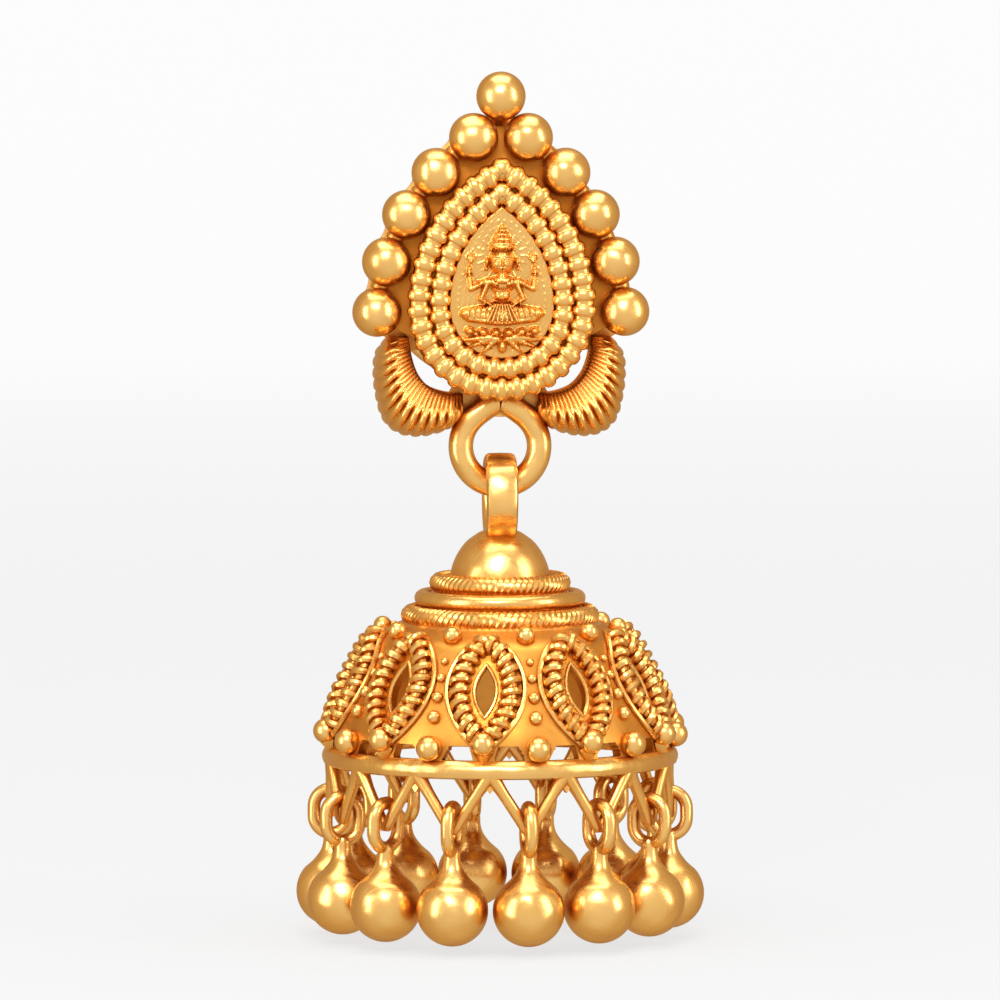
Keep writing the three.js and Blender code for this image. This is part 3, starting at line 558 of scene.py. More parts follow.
def fieldHeights(x, z):
    # the cast relief: a seated figure with raised arms on a lotus, as heights over the ground
    heights = np.zeros_like(x)

    def blend(rise, sharp=26.0):
        nonlocal heights
        heights = np.logaddexp(heights * sharp, rise * sharp) / sharp

    def ovals(across, up, width, height, tilt, both):
        # squared distance from an oval's middle, as a share of its size, for one side or both
        for side in ((1, -1) if both else (1,)):
            dx, dz = x - side * across, z - up
            turn = math.radians(tilt) * side
            u = (dx * math.cos(turn) - dz * math.sin(turn)) / width
            v = (dx * math.sin(turn) + dz * math.cos(turn)) / height
            yield u ** 2 + v ** 2

    def mound(across, up, width, height, rise, tilt=0.0, both=False):
        for away in ovals(across, up, width, height, tilt, both):
            blend(rise * np.clip(1 - away, 0, None) ** 0.7)

    def limb(start, end, thick, thin, rise, fall=None, both=False):
        for side in ((1, -1) if both else (1,)):
            a, b = np.array([side * start[0], start[1]]), np.array([side * end[0], end[1]])
            along = b - a
            share = np.clip(((x - a[0]) * along[0] + (z - a[1]) * along[1]) / np.dot(along, along), 0, 1)
            away = np.hypot(x - a[0] - share * along[0], z - a[1] - share * along[1])
            width = thick + (thin - thick) * share
            top = rise + ((rise if fall is None else fall) - rise) * share
            blend(top * np.clip(1 - (away / width) ** 2, 0, None) ** 0.7)

    # arch of small beads round the figure
    archLine = [(side * across, up) for side, rows in (
        (-1, ((1.56, -1.2), (1.62, -0.6), (1.5, 0.1), (1.22, 0.9), (0.8, 1.65), (0.36, 2.2))),
        (1, ((0.36, 2.2), (0.8, 1.65), (1.22, 0.9), (1.5, 0.1), (1.62, -0.6), (1.56, -1.2))))
        for across, up in rows]
    arch = smoothLine(archLine, 34)
    for across, up in arch:
        mound(across, up, 0.1, 0.1, 0.2)
    innerArch = smoothLine([(across * 0.86, up * 0.93 - 0.05) for across, up in archLine], 26)
    for a, b in zip(innerArch, innerArch[1:]):
        limb(a, b, 0.045, 0.045, 0.17)
    # the figure itself fills the arch
    x = x / 1.2
    # halo behind the head, with short rays
    for ray in np.radians(np.arange(-60, 241, 20)):
        limb((0.6 * math.cos(ray), 0.98 + 0.62 * math.sin(ray)),
             (0.8 * math.cos(ray), 0.98 + 0.86 * math.sin(ray)), 0.06, 0.035, 0.22)
    # crown in tiers
    tiers = ((1.42, 0.46, 0.14, 0.66), (1.6, 0.38, 0.13, 0.6), (1.77, 0.29, 0.12, 0.54),
             (1.92, 0.2, 0.11, 0.48), (2.05, 0.11, 0.11, 0.42))
    for up, width, height, rise in tiers:
        mound(0, up, width, height, rise)
    mound(0, 1.45, 0.36, 0.55, 0.5)
    mound(0, 1.3, 0.46, 0.15, 0.72)
    for across in (-0.34, -0.2, -0.07, 0.07, 0.2, 0.34):
        mound(across, 1.22 + 0.05 * math.cos(across * 4), 0.062, 0.062, 0.84)
    # head and neck
    mound(0, 0.8, 0.45, 0.58, 0.8)
    mound(0.47, 0.76, 0.08, 0.2, 0.5, both=True)
    mound(0.49, 0.52, 0.085, 0.1, 0.52, both=True)
    limb((0, 0.34), (0, 0.1), 0.17, 0.2, 0.5)
    # shoulders, chest and the necklaces over them
    limb((0.1, 0.06), (0.5, 0.0), 0.21, 0.18, 0.54, 0.48, both=True)
    mound(0, -0.12, 0.42, 0.42, 0.52)
    mound(0.19, -0.04, 0.19, 0.2, 0.62, both=True)
    mound(0, -0.5, 0.3, 0.26, 0.46)
    for reach, drop, count in ((0.26, 0.16, 9), (0.36, 0.38, 13)):
        for across in np.linspace(-reach, reach, count):
            sag = drop * math.sqrt(max(0, 1 - (across / reach) ** 2))
            mound(across, 0.14 - sag, 0.045, 0.045, 0.7)
    # raised arms, each with an armlet, bangles and a lotus bud
    limb((0.5, 0.05), (0.96, -0.24), 0.14, 0.12, 0.44, both=True)
    limb((0.96, -0.24), (1.02, 0.42), 0.12, 0.085, 0.44, both=True)
    limb((0.68, -0.16), (0.74, 0.04), 0.05, 0.05, 0.52, both=True)
    limb((0.93, 0.28), (1.09, 0.26), 0.035, 0.035, 0.5, both=True)
    limb((0.93, 0.36), (1.09, 0.34), 0.03, 0.03, 0.48, both=True)
    mound(1.01, 0.52, 0.1, 0.12, 0.46, both=True)
    limb((1.03, 0.55), (0.98, 0.82), 0.035, 0.035, 0.34, both=True)
    for lean, length in ((-42, 0.26), (-21, 0.31), (0, 0.34), (21, 0.31), (42, 0.26)):
        turn = math.radians(lean)
        limb((0.96, 0.78), (0.96 + length * math.sin(turn), 0.78 + length * math.cos(turn)),
             0.075, 0.03, 0.42, 0.26, both=True)
    # resting arms, with the hands on the lap
    limb((0.44, -0.02), (0.66, -0.6), 0.13, 0.11, 0.5, both=True)
    limb((0.66, -0.6), (0.34, -0.84), 0.11, 0.08, 0.58, both=True)
    limb((0.5, -0.66), (0.56, -0.82), 0.04, 0.04, 0.66, both=True)
    mound(0.3, -0.88, 0.13, 0.08, 0.62, tilt=-20, both=True)
    # belt, pleats that fan down between the knees, crossed legs
    for across in np.linspace(-0.26, 0.26, 7):
        mound(across, -0.7 - 0.03 * math.cos(across * 6), 0.045, 0.045, 0.56)
    mound(0, -1.12, 0.66, 0.5, 0.62)
    limb((1.0, -1.2), (0, -1.3), 0.3, 0.32, 0.5, 0.56, both=True)
    limb((0.3, -1.0), (1.08, -1.12), 0.26, 0.22, 0.5, both=True)
    mound(1.12, -1.14, 0.24, 0.21, 0.54, both=True)
    limb((1.0, -1.34), (0.12, -1.5), 0.15, 0.12, 0.48, 0.54, both=True)
    for fold in range(-3, 4):
        limb((0.07 * fold, -0.82), (0.15 * fold, -1.42), 0.08, 0.11, 0.68, 0.64)
    for fold in range(4):
        limb((0.46 + 0.18 * fold, -0.9 - 0.03 * fold), (0.54 + 0.17 * fold, -1.3), 0.05, 0.05, 0.58,
             both=True)
    mound(0, -1.5, 0.16, 0.09, 0.62)
    # beads of the seat, and the lotus under it
    for bead in range(6):
        mound((bead - 2.5) * 0.4, -1.85 + 0.01 * (bead - 2.5) ** 2, 0.19, 0.17, 0.7)
    for lean in (-75, -51, -26, 26, 51, 75):
        turn = math.radians(lean)
        root = (0.42 * math.sin(turn), -2.0 - 0.1 * math.cos(turn))
        tip = (1.32 * math.sin(turn), -1.96 - 0.68 * math.cos(turn))
        limb(root, tip, 0.22, 0.06, 0.62, 0.36)
    mound(0, -2.36, 0.17, 0.3, 0.68)
    for lean in (-88, -63, -38, -14, 14, 38, 63, 88):
        turn = math.radians(lean)
        limb((0.6 * math.sin(turn), -2.0 - 0.2 * math.cos(turn)),
             (1.5 * math.sin(turn), -1.92 - 0.8 * math.cos(turn)), 0.1, 0.04, 0.26, 0.15)

    # the whole cast is kept shallow, with fine lines pressed in or raised on what is there
    heights = heights * 0.8

    def line(across, up, width, height, rise, tilt=0.0, both=False):
        nonlocal heights
        for away in ovals(across, up, width, height, tilt, both):
            heights = heights + rise * np.exp(-away * 2)

    line(0.18, 0.86, 0.16, 0.06, -0.09, both=True)
    line(0.18, 0.84, 0.11, 0.045, 0.09, both=True)
    line(0.185, 0.99, 0.17, 0.035, 0.05, tilt=-8, both=True)
    line(0, 0.76, 0.055, 0.18, 0.13)
    line(0, 0.66, 0.095, 0.055, 0.07)
    line(0, 0.535, 0.14, 0.035, 0.07)
    line(0, 0.5, 0.15, 0.02, -0.05)
    line(0, 0.46, 0.1, 0.038, 0.06)
    line(0, 0.34, 0.2, 0.05, -0.04)
    line(0.26, 0.62, 0.12, 0.14, 0.03, both=True)
    for lean in (-51, -26, 26, 51):
        turn = math.radians(lean)
        line(0.85 * math.sin(turn), -2.0 - 0.42 * math.cos(turn), 0.03, 0.26, -0.06, tilt=lean)
    return heights


field = {"inset": teardrop["outerRow"] + teardrop["innerRow"] - 0.06, "front": 2.02, "back": 1.5,
         "middle": -0.55, "ripple": 0.006, "edgeShare": 0.05}


def figureRelief():
    # rings of points from the middle out to the inner coil, closed behind
    rings, around = ((118, 320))
    rim = tearOutline(field["inset"], around)
    middle = np.array([0.0, field["middle"]])
    shares = np.linspace(0, 1, rings + 1)[1:] ** 0.92
    flat = np.concatenate([[middle]] + [middle + (rim - middle) * share for share in shares])
    x, z = flat[:, 0], flat[:, 1]
    ripple = field["ripple"] * np.sin(x * 31 + 3 * np.sin(z * 9)) * np.sin(z * 27)
    edge = np.concatenate([[0.0]] + [np.full(around, share) for share in shares])
    rise = (fieldHeights(x, z) + ripple) * np.clip((1 - edge) / field["edgeShare"], 0, 1)
    front = np.stack([x, -(field["front"] + rise), z], axis=1)
    back = np.stack([rim[:, 0], np.full(around, -field["back"]), rim[:, 1]], axis=1)
    hub = np.array([[middle[0], -field["back"], middle[1]]])
    points = np.concatenate([front, back, hub])
    faces = [(0, 1 + (j + 1) % around, 1 + j) for j in range(around)]
    for i in range(rings):
        low = 1 + i * around
        for j in range(around):
            k = (j + 1) % around
            faces.append((low + j, low + k, low + around + k, low + around + j))
    start = 1 + rings * around
    faces.extend((start + j, start + (j + 1) % around, len(points) - 1) for j in range(around))
    return points, faces


def coilRow(inset, width, turns):
    # fine wire coiled tight: full ribs side by side along the teardrop, closed on itself
    perRib = 14
    middle = tearOutline(inset + width / 2, turns * perRib)
    alongRib = 2 * ((np.arange(turns * perRib) / perRib + 0.5) % 1) - 1
    rib = np.sqrt(np.clip(1 - (alongRib / teardrop["ribShare"]) ** 2, 0, None))
    radii = width / 2 + teardrop["ribSwell"] - teardrop["ribDepth"] * (1 - rib)
    path = [frontPoint(x, z, teardrop["rowDepth"]) for x, z in middle]
    return drawn(path, radii, 20, closed=True, flat=teardrop["rowFlatness"], up=(0, 1, 0))


def flutes(count, share, roundness):
    return abs(math.sin(math.pi * count * share)) ** roundness


def hornPart(side):
    # a crescent raised to a ridge: bold flutes outside the ridge, fine ones inside
    steps, across = 260, 26
    outer, inner = hornLine(horns["outerEdge"], steps), hornLine(horns["innerEdge"], steps)
    ridge, rimDepth = horns["ridge"], horns["rimDepth"]
    rows = []
    for i in range(steps):
        t = i / (steps - 1)
        bold = flutes(horns["boldFlutes"], t, 0.6)
        fine = horns["fineDepth"] * (flutes(horns["fineFlutes"], t, 0.7) - 0.5)
        taper = min(1, 6 * t + 0.25, 6 * (1 - t) + 0.35)
        edgeOut = (outer[i] - inner[i]) / np.linalg.norm(outer[i] - inner[i])
        row = []
        for v in np.linspace(0, 1, across):
            # flutes lean over as they climb to the ridge
            boldHere = flutes(horns["boldFlutes"], t + horns["lean"] * v / ridge, 0.6)
            outside = max(0, 1 - v / ridge)
            inside = max(0, (v - ridge) / (1 - ridge))
            flute = horns["boldDepth"] * (boldHere - 0.6)
            if v < ridge:
                body = math.sqrt(max(0, 1 - outside ** 2.2))
                flute *= min(1, 0.25 + v / ridge)
            else:
                body = 1 - 0.42 * inside ** 1.6
                flute = fine * min(1, 3 * inside) + flute * max(0, 1 - 3 * inside)
            depth = rimDepth + taper * ((horns["front"] - rimDepth) * body + flute)
            bulge = horns["edgeDepth"] * (bold - 0.5) * outside * taper
            place = outer[i] * (1 - v) + inner[i] * v + edgeOut * bulge
            row.append(frontPoint(side * place[0], place[1], depth if v else rimDepth))
        for corner in (row[-1], row[0]):
            row.append(np.array([corner[0], -horns["backDepth"], corner[2]]))
        rows.append(row)
    points = np.array(rows).reshape(-1, 3)
    width = across + 2
    faces = []
    for i in range(steps - 1):
        for j in range(width):
            k = (j + 1) % width
            faces.append((i * width + j, i * width + k, (i + 1) * width + k, (i + 1) * width + j))
    faces.append(tuple(range(width)))
    faces.append(tuple(reversed(range((steps - 1) * width, steps * width))))
    return points, faces


ring = {"radius": 1.46, "wire": 0.92, "depth": 1.15, "seam": 0.045, "pointRise": 0.2, "pointSpread": 0.34}
ringCentre = np.array([0, -ring["depth"], pinHeight + ring["radius"]])


def hangingRing():
    # round wire bent to a ring: its cut ends meet in a seam at the top, which leaves a small point inside
    angles = np.linspace(ring["seam"] / ring["radius"], 2 * math.pi - ring["seam"] / ring["radius"], 96)
    path, radii = [], []
    for angle in angles:
        fromTop = min(angle, 2 * math.pi - angle)
        reach = ring["radius"] + ring["pointRise"] * math.exp(-(fromTop / ring["pointSpread"]) ** 2)
        path.append(ringCentre + np.array([reach * math.sin(angle), 0, reach * math.cos(angle)]))
        radii.append(ring["wire"] / 2 * (1 - 0.16 * math.exp(-(fromTop / 0.05) ** 2)))
    return drawn(path, radii, 28, up=(0, 1, 0))


post = {"radius": 0.65, "length": 12.0, "footRadius": 1.6, "threadStart": 3.9, "threadPitch": 0.3,
        "threadWire": 0.1, "threadEnd": 11.55}


def screwPost():
    plain, length, start = post["radius"], post["length"], post["threadStart"]
    core = plain - post["threadWire"]
    return turned([(0, -0.1), (post["footRadius"], -0.1), (post["footRadius"], 0.05), (1.28, 0.16),
                   (0.95, 0.36), (0.75, 0.6), (plain, 0.9), (plain, start - 0.12), (core, start),
                   (core, length - 0.35), (core - 0.08, length - 0.1), (core - 0.2, length), (0, length)],
                  48, axis="y")


def postThread():
    start, end = post["threadStart"], post["threadEnd"]
    line = [np.array([0, y, 0]) for y in np.linspace(start, end, 40)]
    return grown("coil", lineMesh("threadPath", line), gold["satin"], {
        "Turns": (end - start) / post["threadPitch"], "Coil Radius": post["radius"] - post["threadWire"],
        "Wire Radius": post["threadWire"], "Steps Per Turn": 24, "Wire Sides": 6,
        "Phase": 0.0})


def wirePieces():
    # the neck behind the top ball, and a bead of solder where each ball meets its neighbour
    top = smoothLine([(0, -0.3, 5.4), (0, -0.45, 6.1), (0, -0.9, 6.6),
                      (0, -border["ballDepth"], border["topRise"])], 16)
    parts = [drawn(top, border["neckRadius"], 16)]
    for side in (-1, 1):
        for i in range(border["pairs"] - 1):
            place = frontPoint(*borderPlace(i + 0.5, side), border["solderDepth"])
            parts.append(ballPart(place, border["solderRadius"], 12))
    return joinParts(parts)


def borderBalls():
    places = [frontPoint(0, border["topRise"], border["ballDepth"])]
    places += [frontPoint(*borderPlace(i, side), border["ballDepth"])
               for side in (-1, 1) for i in range(border["pairs"])]
    return grown("beads", makeMesh("ballPlaces", places, []), gold["burnished"], {
        "Radius": border["ballRadius"], "Segments": 40, "Seed": 4})


def studPiece(name, shape, look, sharpAngle=38, recalc=True):
    return finishPiece(name, shape, gold[look], "stud", sharpAngle, recalc)


upperPlate, lowerPlate, ballWeb = studPlate()
backPlate = studPiece("backPlate", upperPlate, "satin")
studPiece("lowerPlate", lowerPlate, "satin")
# the ball web and the dome's body take the darker ground gold, painted shade for surfaces in hollows
studPiece("ballWeb", ballWeb, "groundShade")
domeSheet = sheetMesh("domeBody", tearOutline(teardrop["sheetInset"], 220), [], teardrop["sheetBack"],
                      teardrop["bodyFront"], teardrop["sheetEdge"])
studPiece("domeBody", domeSheet, "groundShade")
studPiece("outerCoilRow", coilRow(0, teardrop["outerRow"], teardrop["outerTurns"]), "relief", 60)
studPiece("innerCoilRow", coilRow(teardrop["outerRow"], teardrop["innerRow"], teardrop["innerTurns"]),
          "relief", 60)
studPiece("figureRelief", figureRelief(), "relief", 60)
studPiece("borderBalls", borderBalls(), "burnished", recalc=False)
studPiece("ballNecks", wirePieces(), "satin")
studPiece("horns", joinParts([hornPart(1), hornPart(-1)]), "relief", 70)
studPiece("hangingRing", hangingRing(), "burnished")
studPiece("screwPost", screwPost(), "satin")
studPiece("postThread", postThread(), "satin", recalc=False)
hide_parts("stud")
print("stud done")


# Screw nut: a dished disc with a milled back edge, and a D-shaped bow with a second bearing

nut = {"radius": 4.15, "face": 5.1, "thickness": 1.4, "rim": 0.6, "dish": 0.35, "bore": 0.75, "notches": 44,
       "bowReach": 11.3, "bowWidth": 1.1, "bowThickness": 0.55, "bowRounding": 0.14,
       "hubRadius": 1.15, "hubLength": 0.8}


def nutDisc():
    face, back, radius = nut["face"], nut["face"] + nut["thickness"], nut["radius"]
    steps, dish = nut["notches"] * 6, face + nut["dish"]
    profile = [(nut["bore"], dish), (1.25, dish), (1.35, dish + 0.07), (2.9, dish + 0.05),
               (3.2, dish - 0.02), (3.42, face + 0.12),
               (3.56, face), (3.9, face), (4.06, face + 0.1), (4.13, face + 0.28), (radius, face + 0.5),
               (radius, face + 0.72), (4.08, face + 0.78), (4.08, face + 0.84), (radius, face + 0.9),
               (radius, back - 0.22), (4.07, back - 0.08), (3.92, back), (3.7, back), (3.62, back - 0.08),
               (3.0, back - 0.1), (1.5, back - 0.04), (1.32, back), (nut["bore"], back)]
    points, faces = turned(profile, steps, axis="z", closed=True)
    # rows of the profile that the milling wheel bites into, and how deep
    for row, bite in ((13, 0.1), (14, 0.1), (15, 0.1), (16, 0.06)):
        for i in range(steps):
            points[row * steps + i, :2] *= 1 - bite * max(0, math.cos(2 * math.pi * i / 6)) / radius
    return points[:, [0, 2, 1]] * [1, 1, -1], faces


def nutBow():
    # strap bent to a half oval, let into the disc's back at both ends
    back = nut["face"] + nut["thickness"]
    foot = nut["radius"] - nut["rim"] - nut["bowThickness"] / 2
    reach = nut["bowReach"] - nut["bowThickness"] / 2 - back
    path = [np.array([0, back - 0.4, foot])]
    path += [np.array([0, back + reach * math.sin(turn), foot * math.cos(turn)])
             for turn in np.linspace(0, math.pi, 64)]
    path.append(np.array([0, back - 0.4, -foot]))
    path = evenly(np.array(path), 80)
    tangents = np.gradient(path, axis=0)
    tangents /= np.linalg.norm(tangents, axis=1)[:, None]
    halfWidth, halfThick, rounding = nut["bowWidth"] / 2, nut["bowThickness"] / 2, nut["bowRounding"]
    section = []
    for cornerX, cornerY, start in ((1, 1, 0), (-1, 1, 90), (-1, -1, 180), (1, -1, 270)):
        for turn in np.radians(start + np.array([0, 30, 60, 90])):
            section.append((cornerX * (halfWidth - rounding) + rounding * math.cos(turn),
                            cornerY * (halfThick - rounding) + rounding * math.sin(turn)))
    points = []
    for place, tangent in zip(path, tangents):
        outward = np.cross(tangent, (1, 0, 0))
        points.extend(place + sx * np.array([1, 0, 0]) + sy * outward for sx, sy in section)
    sides = len(section)
    faces = [(i * sides + j, i * sides + (j + 1) % sides, (i + 1) * sides + (j + 1) % sides,
              (i + 1) * sides + j) for i in range(len(path) - 1) for j in range(sides)]
    faces.append(tuple(range(sides)))
    faces.append(tuple(reversed(range((len(path) - 1) * sides, len(path) * sides))))
    return points, faces


def nutHub():
    end, radius = nut["bowReach"] + 0.06, nut["hubRadius"]
    start = end - nut["hubLength"]
    return turned([(nut["bore"], start), (radius - 0.12, start), (radius, start + 0.12), (radius, end - 0.14),
                   (radius - 0.14, end), (nut["bore"] + 0.08, end), (nut["bore"], end - 0.08)],
                  48, axis="y", closed=True)


disc = finishPiece("nutDisc", nutDisc(), gold["burnished"], "nut")
finishPiece("nutBow", nutBow(), gold["burnished"], "nut")
finishPiece("nutHub", nutHub(), gold["satin"], "nut")
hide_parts("screw_nut")
print("nut done")


# Bell: worked out round its own axis at the origin, then moved to where it hangs

bell = {
    "eyeOuter": 1.63, "eyeInner": 0.98, "eyeWidth": 1.16, "eyeRounding": 0.17, "eyeClearance": 0.09,
    "capSink": 0.26, "capHeight": 1.57,
    "topRope": 2.26, "topRopeWire": 0.76, "plain": 2.89, "plainWire": 0.6, "lowRope": 3.3,
    "lowRopeWire": 0.8, "topRopeTurns": 22, "lowRopeTurns": 29,
    "mouth": 6.38, "wallHeight": 4.62, "wallThickness": 0.42, "bandRelief": 0.24,
    "bandHeight": 0.6, "leaves": 10, "leafPhase": -9.5, "drops": len(dropNodes), "dropPhase": 5.6,
}
eyeCentre = pinHeight + ring["wire"] / 2 + bell["eyeClearance"] - bell["eyeInner"]
capTop = eyeCentre - bell["eyeOuter"] + bell["capSink"]
capFoot = capTop - bell["capHeight"]
topRopeHeight = capFoot - bell["topRopeWire"] / 3
plainHeight = topRopeHeight - (bell["topRopeWire"] + bell["plainWire"]) / 2 * 0.83
lowRopeHeight = plainHeight - (bell["plainWire"] + bell["lowRopeWire"]) / 2 * 0.915
wallTop = lowRopeHeight - bell["lowRopeWire"] * 0.38
wallFoot = wallTop - bell["wallHeight"]
bandFoot = wallFoot - bell["bandHeight"]
bandRadius = bell["mouth"] + bell["bandRelief"]
leafStep = 2 * math.pi / bell["leaves"]
leafStart = math.radians(bell["leafPhase"])
wallLine = smoothLine([(share * bell["mouth"], wallTop - down * bell["wallHeight"]) for share, down in (
    (0.6, 0), (0.733, 0.11), (0.82, 0.31), (0.92, 0.58), (0.986, 0.82), (1, 1))], 240)
wallLength = float(np.sum(np.linalg.norm(np.diff(wallLine, axis=0), axis=1)))
wallSlope = np.gradient(wallLine, axis=0)
wallSlope /= np.linalg.norm(wallSlope, axis=1)[:, None]


def alongWall(share, values):
    return np.interp(np.clip(share, 0, 1) * (len(wallLine) - 1), range(len(wallLine)), values)


def wallRadius(share):
    return alongWall(share, wallLine[:, 0])


def onWall(angle, share, out=0.0):
    # a place round the axis: the angle runs from the front towards +x, the share down the wall
    radius = wallRadius(share) - out * alongWall(share, wallSlope[:, 1])
    height = alongWall(share, wallLine[:, 1]) + out * alongWall(share, wallSlope[:, 0])
    return np.stack([radius * np.sin(angle), -radius * np.cos(angle), height + 0 * angle], axis=-1)


def bellPiece(name, shape, look, recalc=True, sharpAngle=38):
    mesh = shape if isinstance(shape, bpy.types.Mesh) else makeMesh(name, *shape)
    mesh.transform(Matrix.Translation((0, bellAxisY, 0)))
    return finishPiece(name, mesh, gold[look], "bell", sharpAngle, recalc)


leaf = {"top": 0.15, "low": 0.86, "half": 0.94, "coil": 0.84, "coilOut": 0.13, "wire": 0.15, "turns": 21,
        "endGap": 0.16, "coreInset": 0.2, "slitHalf": 0.42, "slitLength": 2.1, "lipWire": 0.075,
        "outlineGap": 0.5, "outlineRise": 0.34, "outlineWire": 0.11, "outlineOut": 0.06}
leafMiddle = (leaf["top"] + leaf["low"]) / 2


def leafPath(steps, half, out, shift=0.0, turnFrom=0.0):
    # pointed oval from its lower tip round and back
    turns = np.linspace(turnFrom, 2 * math.pi - turnFrom, steps)
    across = half * np.sign(np.sin(turns)) * np.abs(np.sin(turns)) ** 1.7
    share = leafMiddle + ((leaf["low"] - leaf["top"]) / 2 + shift / wallLength) * np.cos(turns)
    return onWall(across / wallRadius(share), share, out)


def slitEdge(down):
    return leaf["slitHalf"] * (1 - (2 * down / leaf["slitLength"]) ** 2)


def slitPath():
    down = np.concatenate([np.linspace(-1, 1, 25), np.linspace(1, -1, 25)[1:-1]]) * leaf["slitLength"] / 2
    share = leafMiddle + down / wallLength
    return onWall(slitEdge(down) * np.repeat([1, -1], [25, 23]) / wallRadius(share), share, -0.02)


def wallDistance(angle, share):
    # how far a place lies outside the nearest opening, in mm: leaf middles and the gaps over the band
    nearLeaf = (angle - leafStart + leafStep / 2) % leafStep - leafStep / 2
    aside = np.abs(nearLeaf) * wallRadius(share)
    down = (share - leafMiddle) * wallLength
    slit = np.where(np.abs(down) > leaf["slitLength"] * 0.6, 1.0, (aside - slitEdge(down)) * 0.9)
    fromFoot = (1 - share) * wallLength
    # three-cornered gap between a leaf's tip and the granule: base on the band
    gap = np.maximum.reduce([0.08 - fromFoot, (fromFoot - 0.62) * 0.8,
                             (0.35 + 0.3 * fromFoot) - aside, aside - (1.62 - 0.55 * fromFoot)])
    return np.minimum(slit, gap)


def bellWall():
    # a dense shell whose edges are pulled onto the outlines of its openings
    around, rows = ((440, 70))
    angles, shares = np.meshgrid(np.arange(around) * 2 * math.pi / around, np.linspace(0, 1, rows + 1))
    step, usualRadius = 1e-3, 6
    turn, climb = step / usualRadius, step / wallLength
    cell = 2 * math.pi * usualRadius / around
    for _ in range(3):
        away = wallDistance(angles, shares)
        gradA = (wallDistance(angles + turn, shares) - wallDistance(angles - turn, shares)) / (2 * step)
        gradS = (wallDistance(angles, np.clip(shares + climb, 0, 1))
                 - wallDistance(angles, np.clip(shares - climb, 0, 1))) / (2 * step)
        size = np.maximum(gradA ** 2 + gradS ** 2, 1e-3)
        near = (np.abs(away) < cell * 0.62) & (shares > 0.01) & (shares < 0.99)
        moveA, moveS = (np.clip(away * grad / size, -cell, cell) for grad in (gradA, gradS))
        angles = np.where(near, angles - moveA / usualRadius, angles)
        shares = np.where(near, shares - moveS / wallLength, shares)
    outer = onWall(angles, shares).reshape(-1, 3)
    inner = onWall(angles, shares, -bell["wallThickness"]).reshape(-1, 3)
    count = len(outer)
    nextAngles = np.roll(angles, -1, axis=1)
    nextAngles[:, -1] += 2 * math.pi
    nextShares = np.roll(shares, -1, axis=1)
    kept = wallDistance(*((here[:-1] + here[1:] + after[:-1] + after[1:]) / 4
                          for here, after in ((angles, nextAngles), (shares, nextShares)))) > 0
    faces, edges = [], {}
    for i in range(rows):
        for j in range(around):
            if not kept[i, j]:
                continue
            k = (j + 1) % around
            corner = (i * around + j, i * around + k, (i + 1) * around + k, (i + 1) * around + j)
            faces.append(corner)
            faces.append(tuple(count + index for index in reversed(corner)))
            for a, b in zip(corner, corner[1:] + corner[:1]):
                if (b, a) in edges:
                    del edges[(b, a)]
                else:
                    edges[(a, b)] = True
    faces.extend((b, a, count + a, count + b) for a, b in edges)
    mesh = makeMesh("bellWall", np.concatenate([outer, inner]), faces)
    bm = bmesh.new()
    bm.from_mesh(mesh)
    bmesh.ops.delete(bm, geom=[vert for vert in bm.verts if not vert.link_faces], context="VERTS")
    bm.to_mesh(mesh)
    bm.free()
    return mesh


def setRound(mesh, look, count, phase):
    return grown("round", mesh, gold[look], {"Count": count, "Phase": phase})


def eyeStrap():
    half, rounding = bell["eyeWidth"] / 2, bell["eyeRounding"]
    inner, outer = bell["eyeInner"], bell["eyeOuter"]
    edge = [(inner + 0.03, half * 0.4), (inner + 0.08, half * 0.75), (inner + 0.17, half - 0.03),
            (inner + 0.26, half), (outer - rounding, half), (outer - 0.05, half - 0.06),
            (outer, half - rounding)]
    profile = [(inner, 0), *edge, (outer + 0.012, 0), *((radius, -along) for radius, along in reversed(edge))]
    return turned(profile, 72, axis="x", centre=(0, 0, eyeCentre), closed=True)


def cap():
    # a raised dome with a fillet of solder round the strap's foot
    line = smoothLine([(0.45, capTop + 0.14), (0.72, capTop + 0.08), (0.95, capTop - 0.06),
                       (1.26, capTop - 0.3), (1.55, capTop - 0.68), (1.75, capTop - 1.1),
                       (1.85, capFoot + 0.1), (1.88, capFoot - 0.12)], 40)
    return turned([(0, capTop + 0.14)] + [tuple(row) for row in line] + [(0, capFoot - 0.12)], 96)


def capShell():
    # the stepped sheet under the rings, hollow below
    outside = [(1.8, capFoot), (bell["topRope"] - 0.05, topRopeHeight), (bell["plain"] - 0.1, plainHeight),
               (bell["lowRope"], lowRopeHeight), (wallLine[0][0] - 0.02, wallTop - 0.02)]
    inside = [(wallLine[0][0] - 0.42, wallTop - 0.1), (bell["lowRope"] - 0.4, lowRopeHeight - 0.2),
              (bell["plain"] - 0.5, plainHeight - 0.2), (0, plainHeight - 0.1)]
    return turned([(0, capFoot)] + outside + inside, 96)


def ropeRing(radius, wire, height, turns):
    # three strands twisted together
    circle = [np.array([radius * math.sin(turn), -radius * math.cos(turn), height])
              for turn in np.linspace(0, 2 * math.pi, 181)[:-1]]
    strand = wire * 0.245
    # negative turns twist the other way, and negative steps keep their product positive
    return mergeMeshes([grown("coil", lineMesh("ropePath", circle, closed=True), gold["relief"], {
        "Turns": -float(turns), "Coil Radius": wire / 2 - strand, "Wire Radius": strand,
        "Steps Per Turn": (-12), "Wire Sides": 8, "Phase": 2 * math.pi * phase / 3})
        for phase in range(3)])


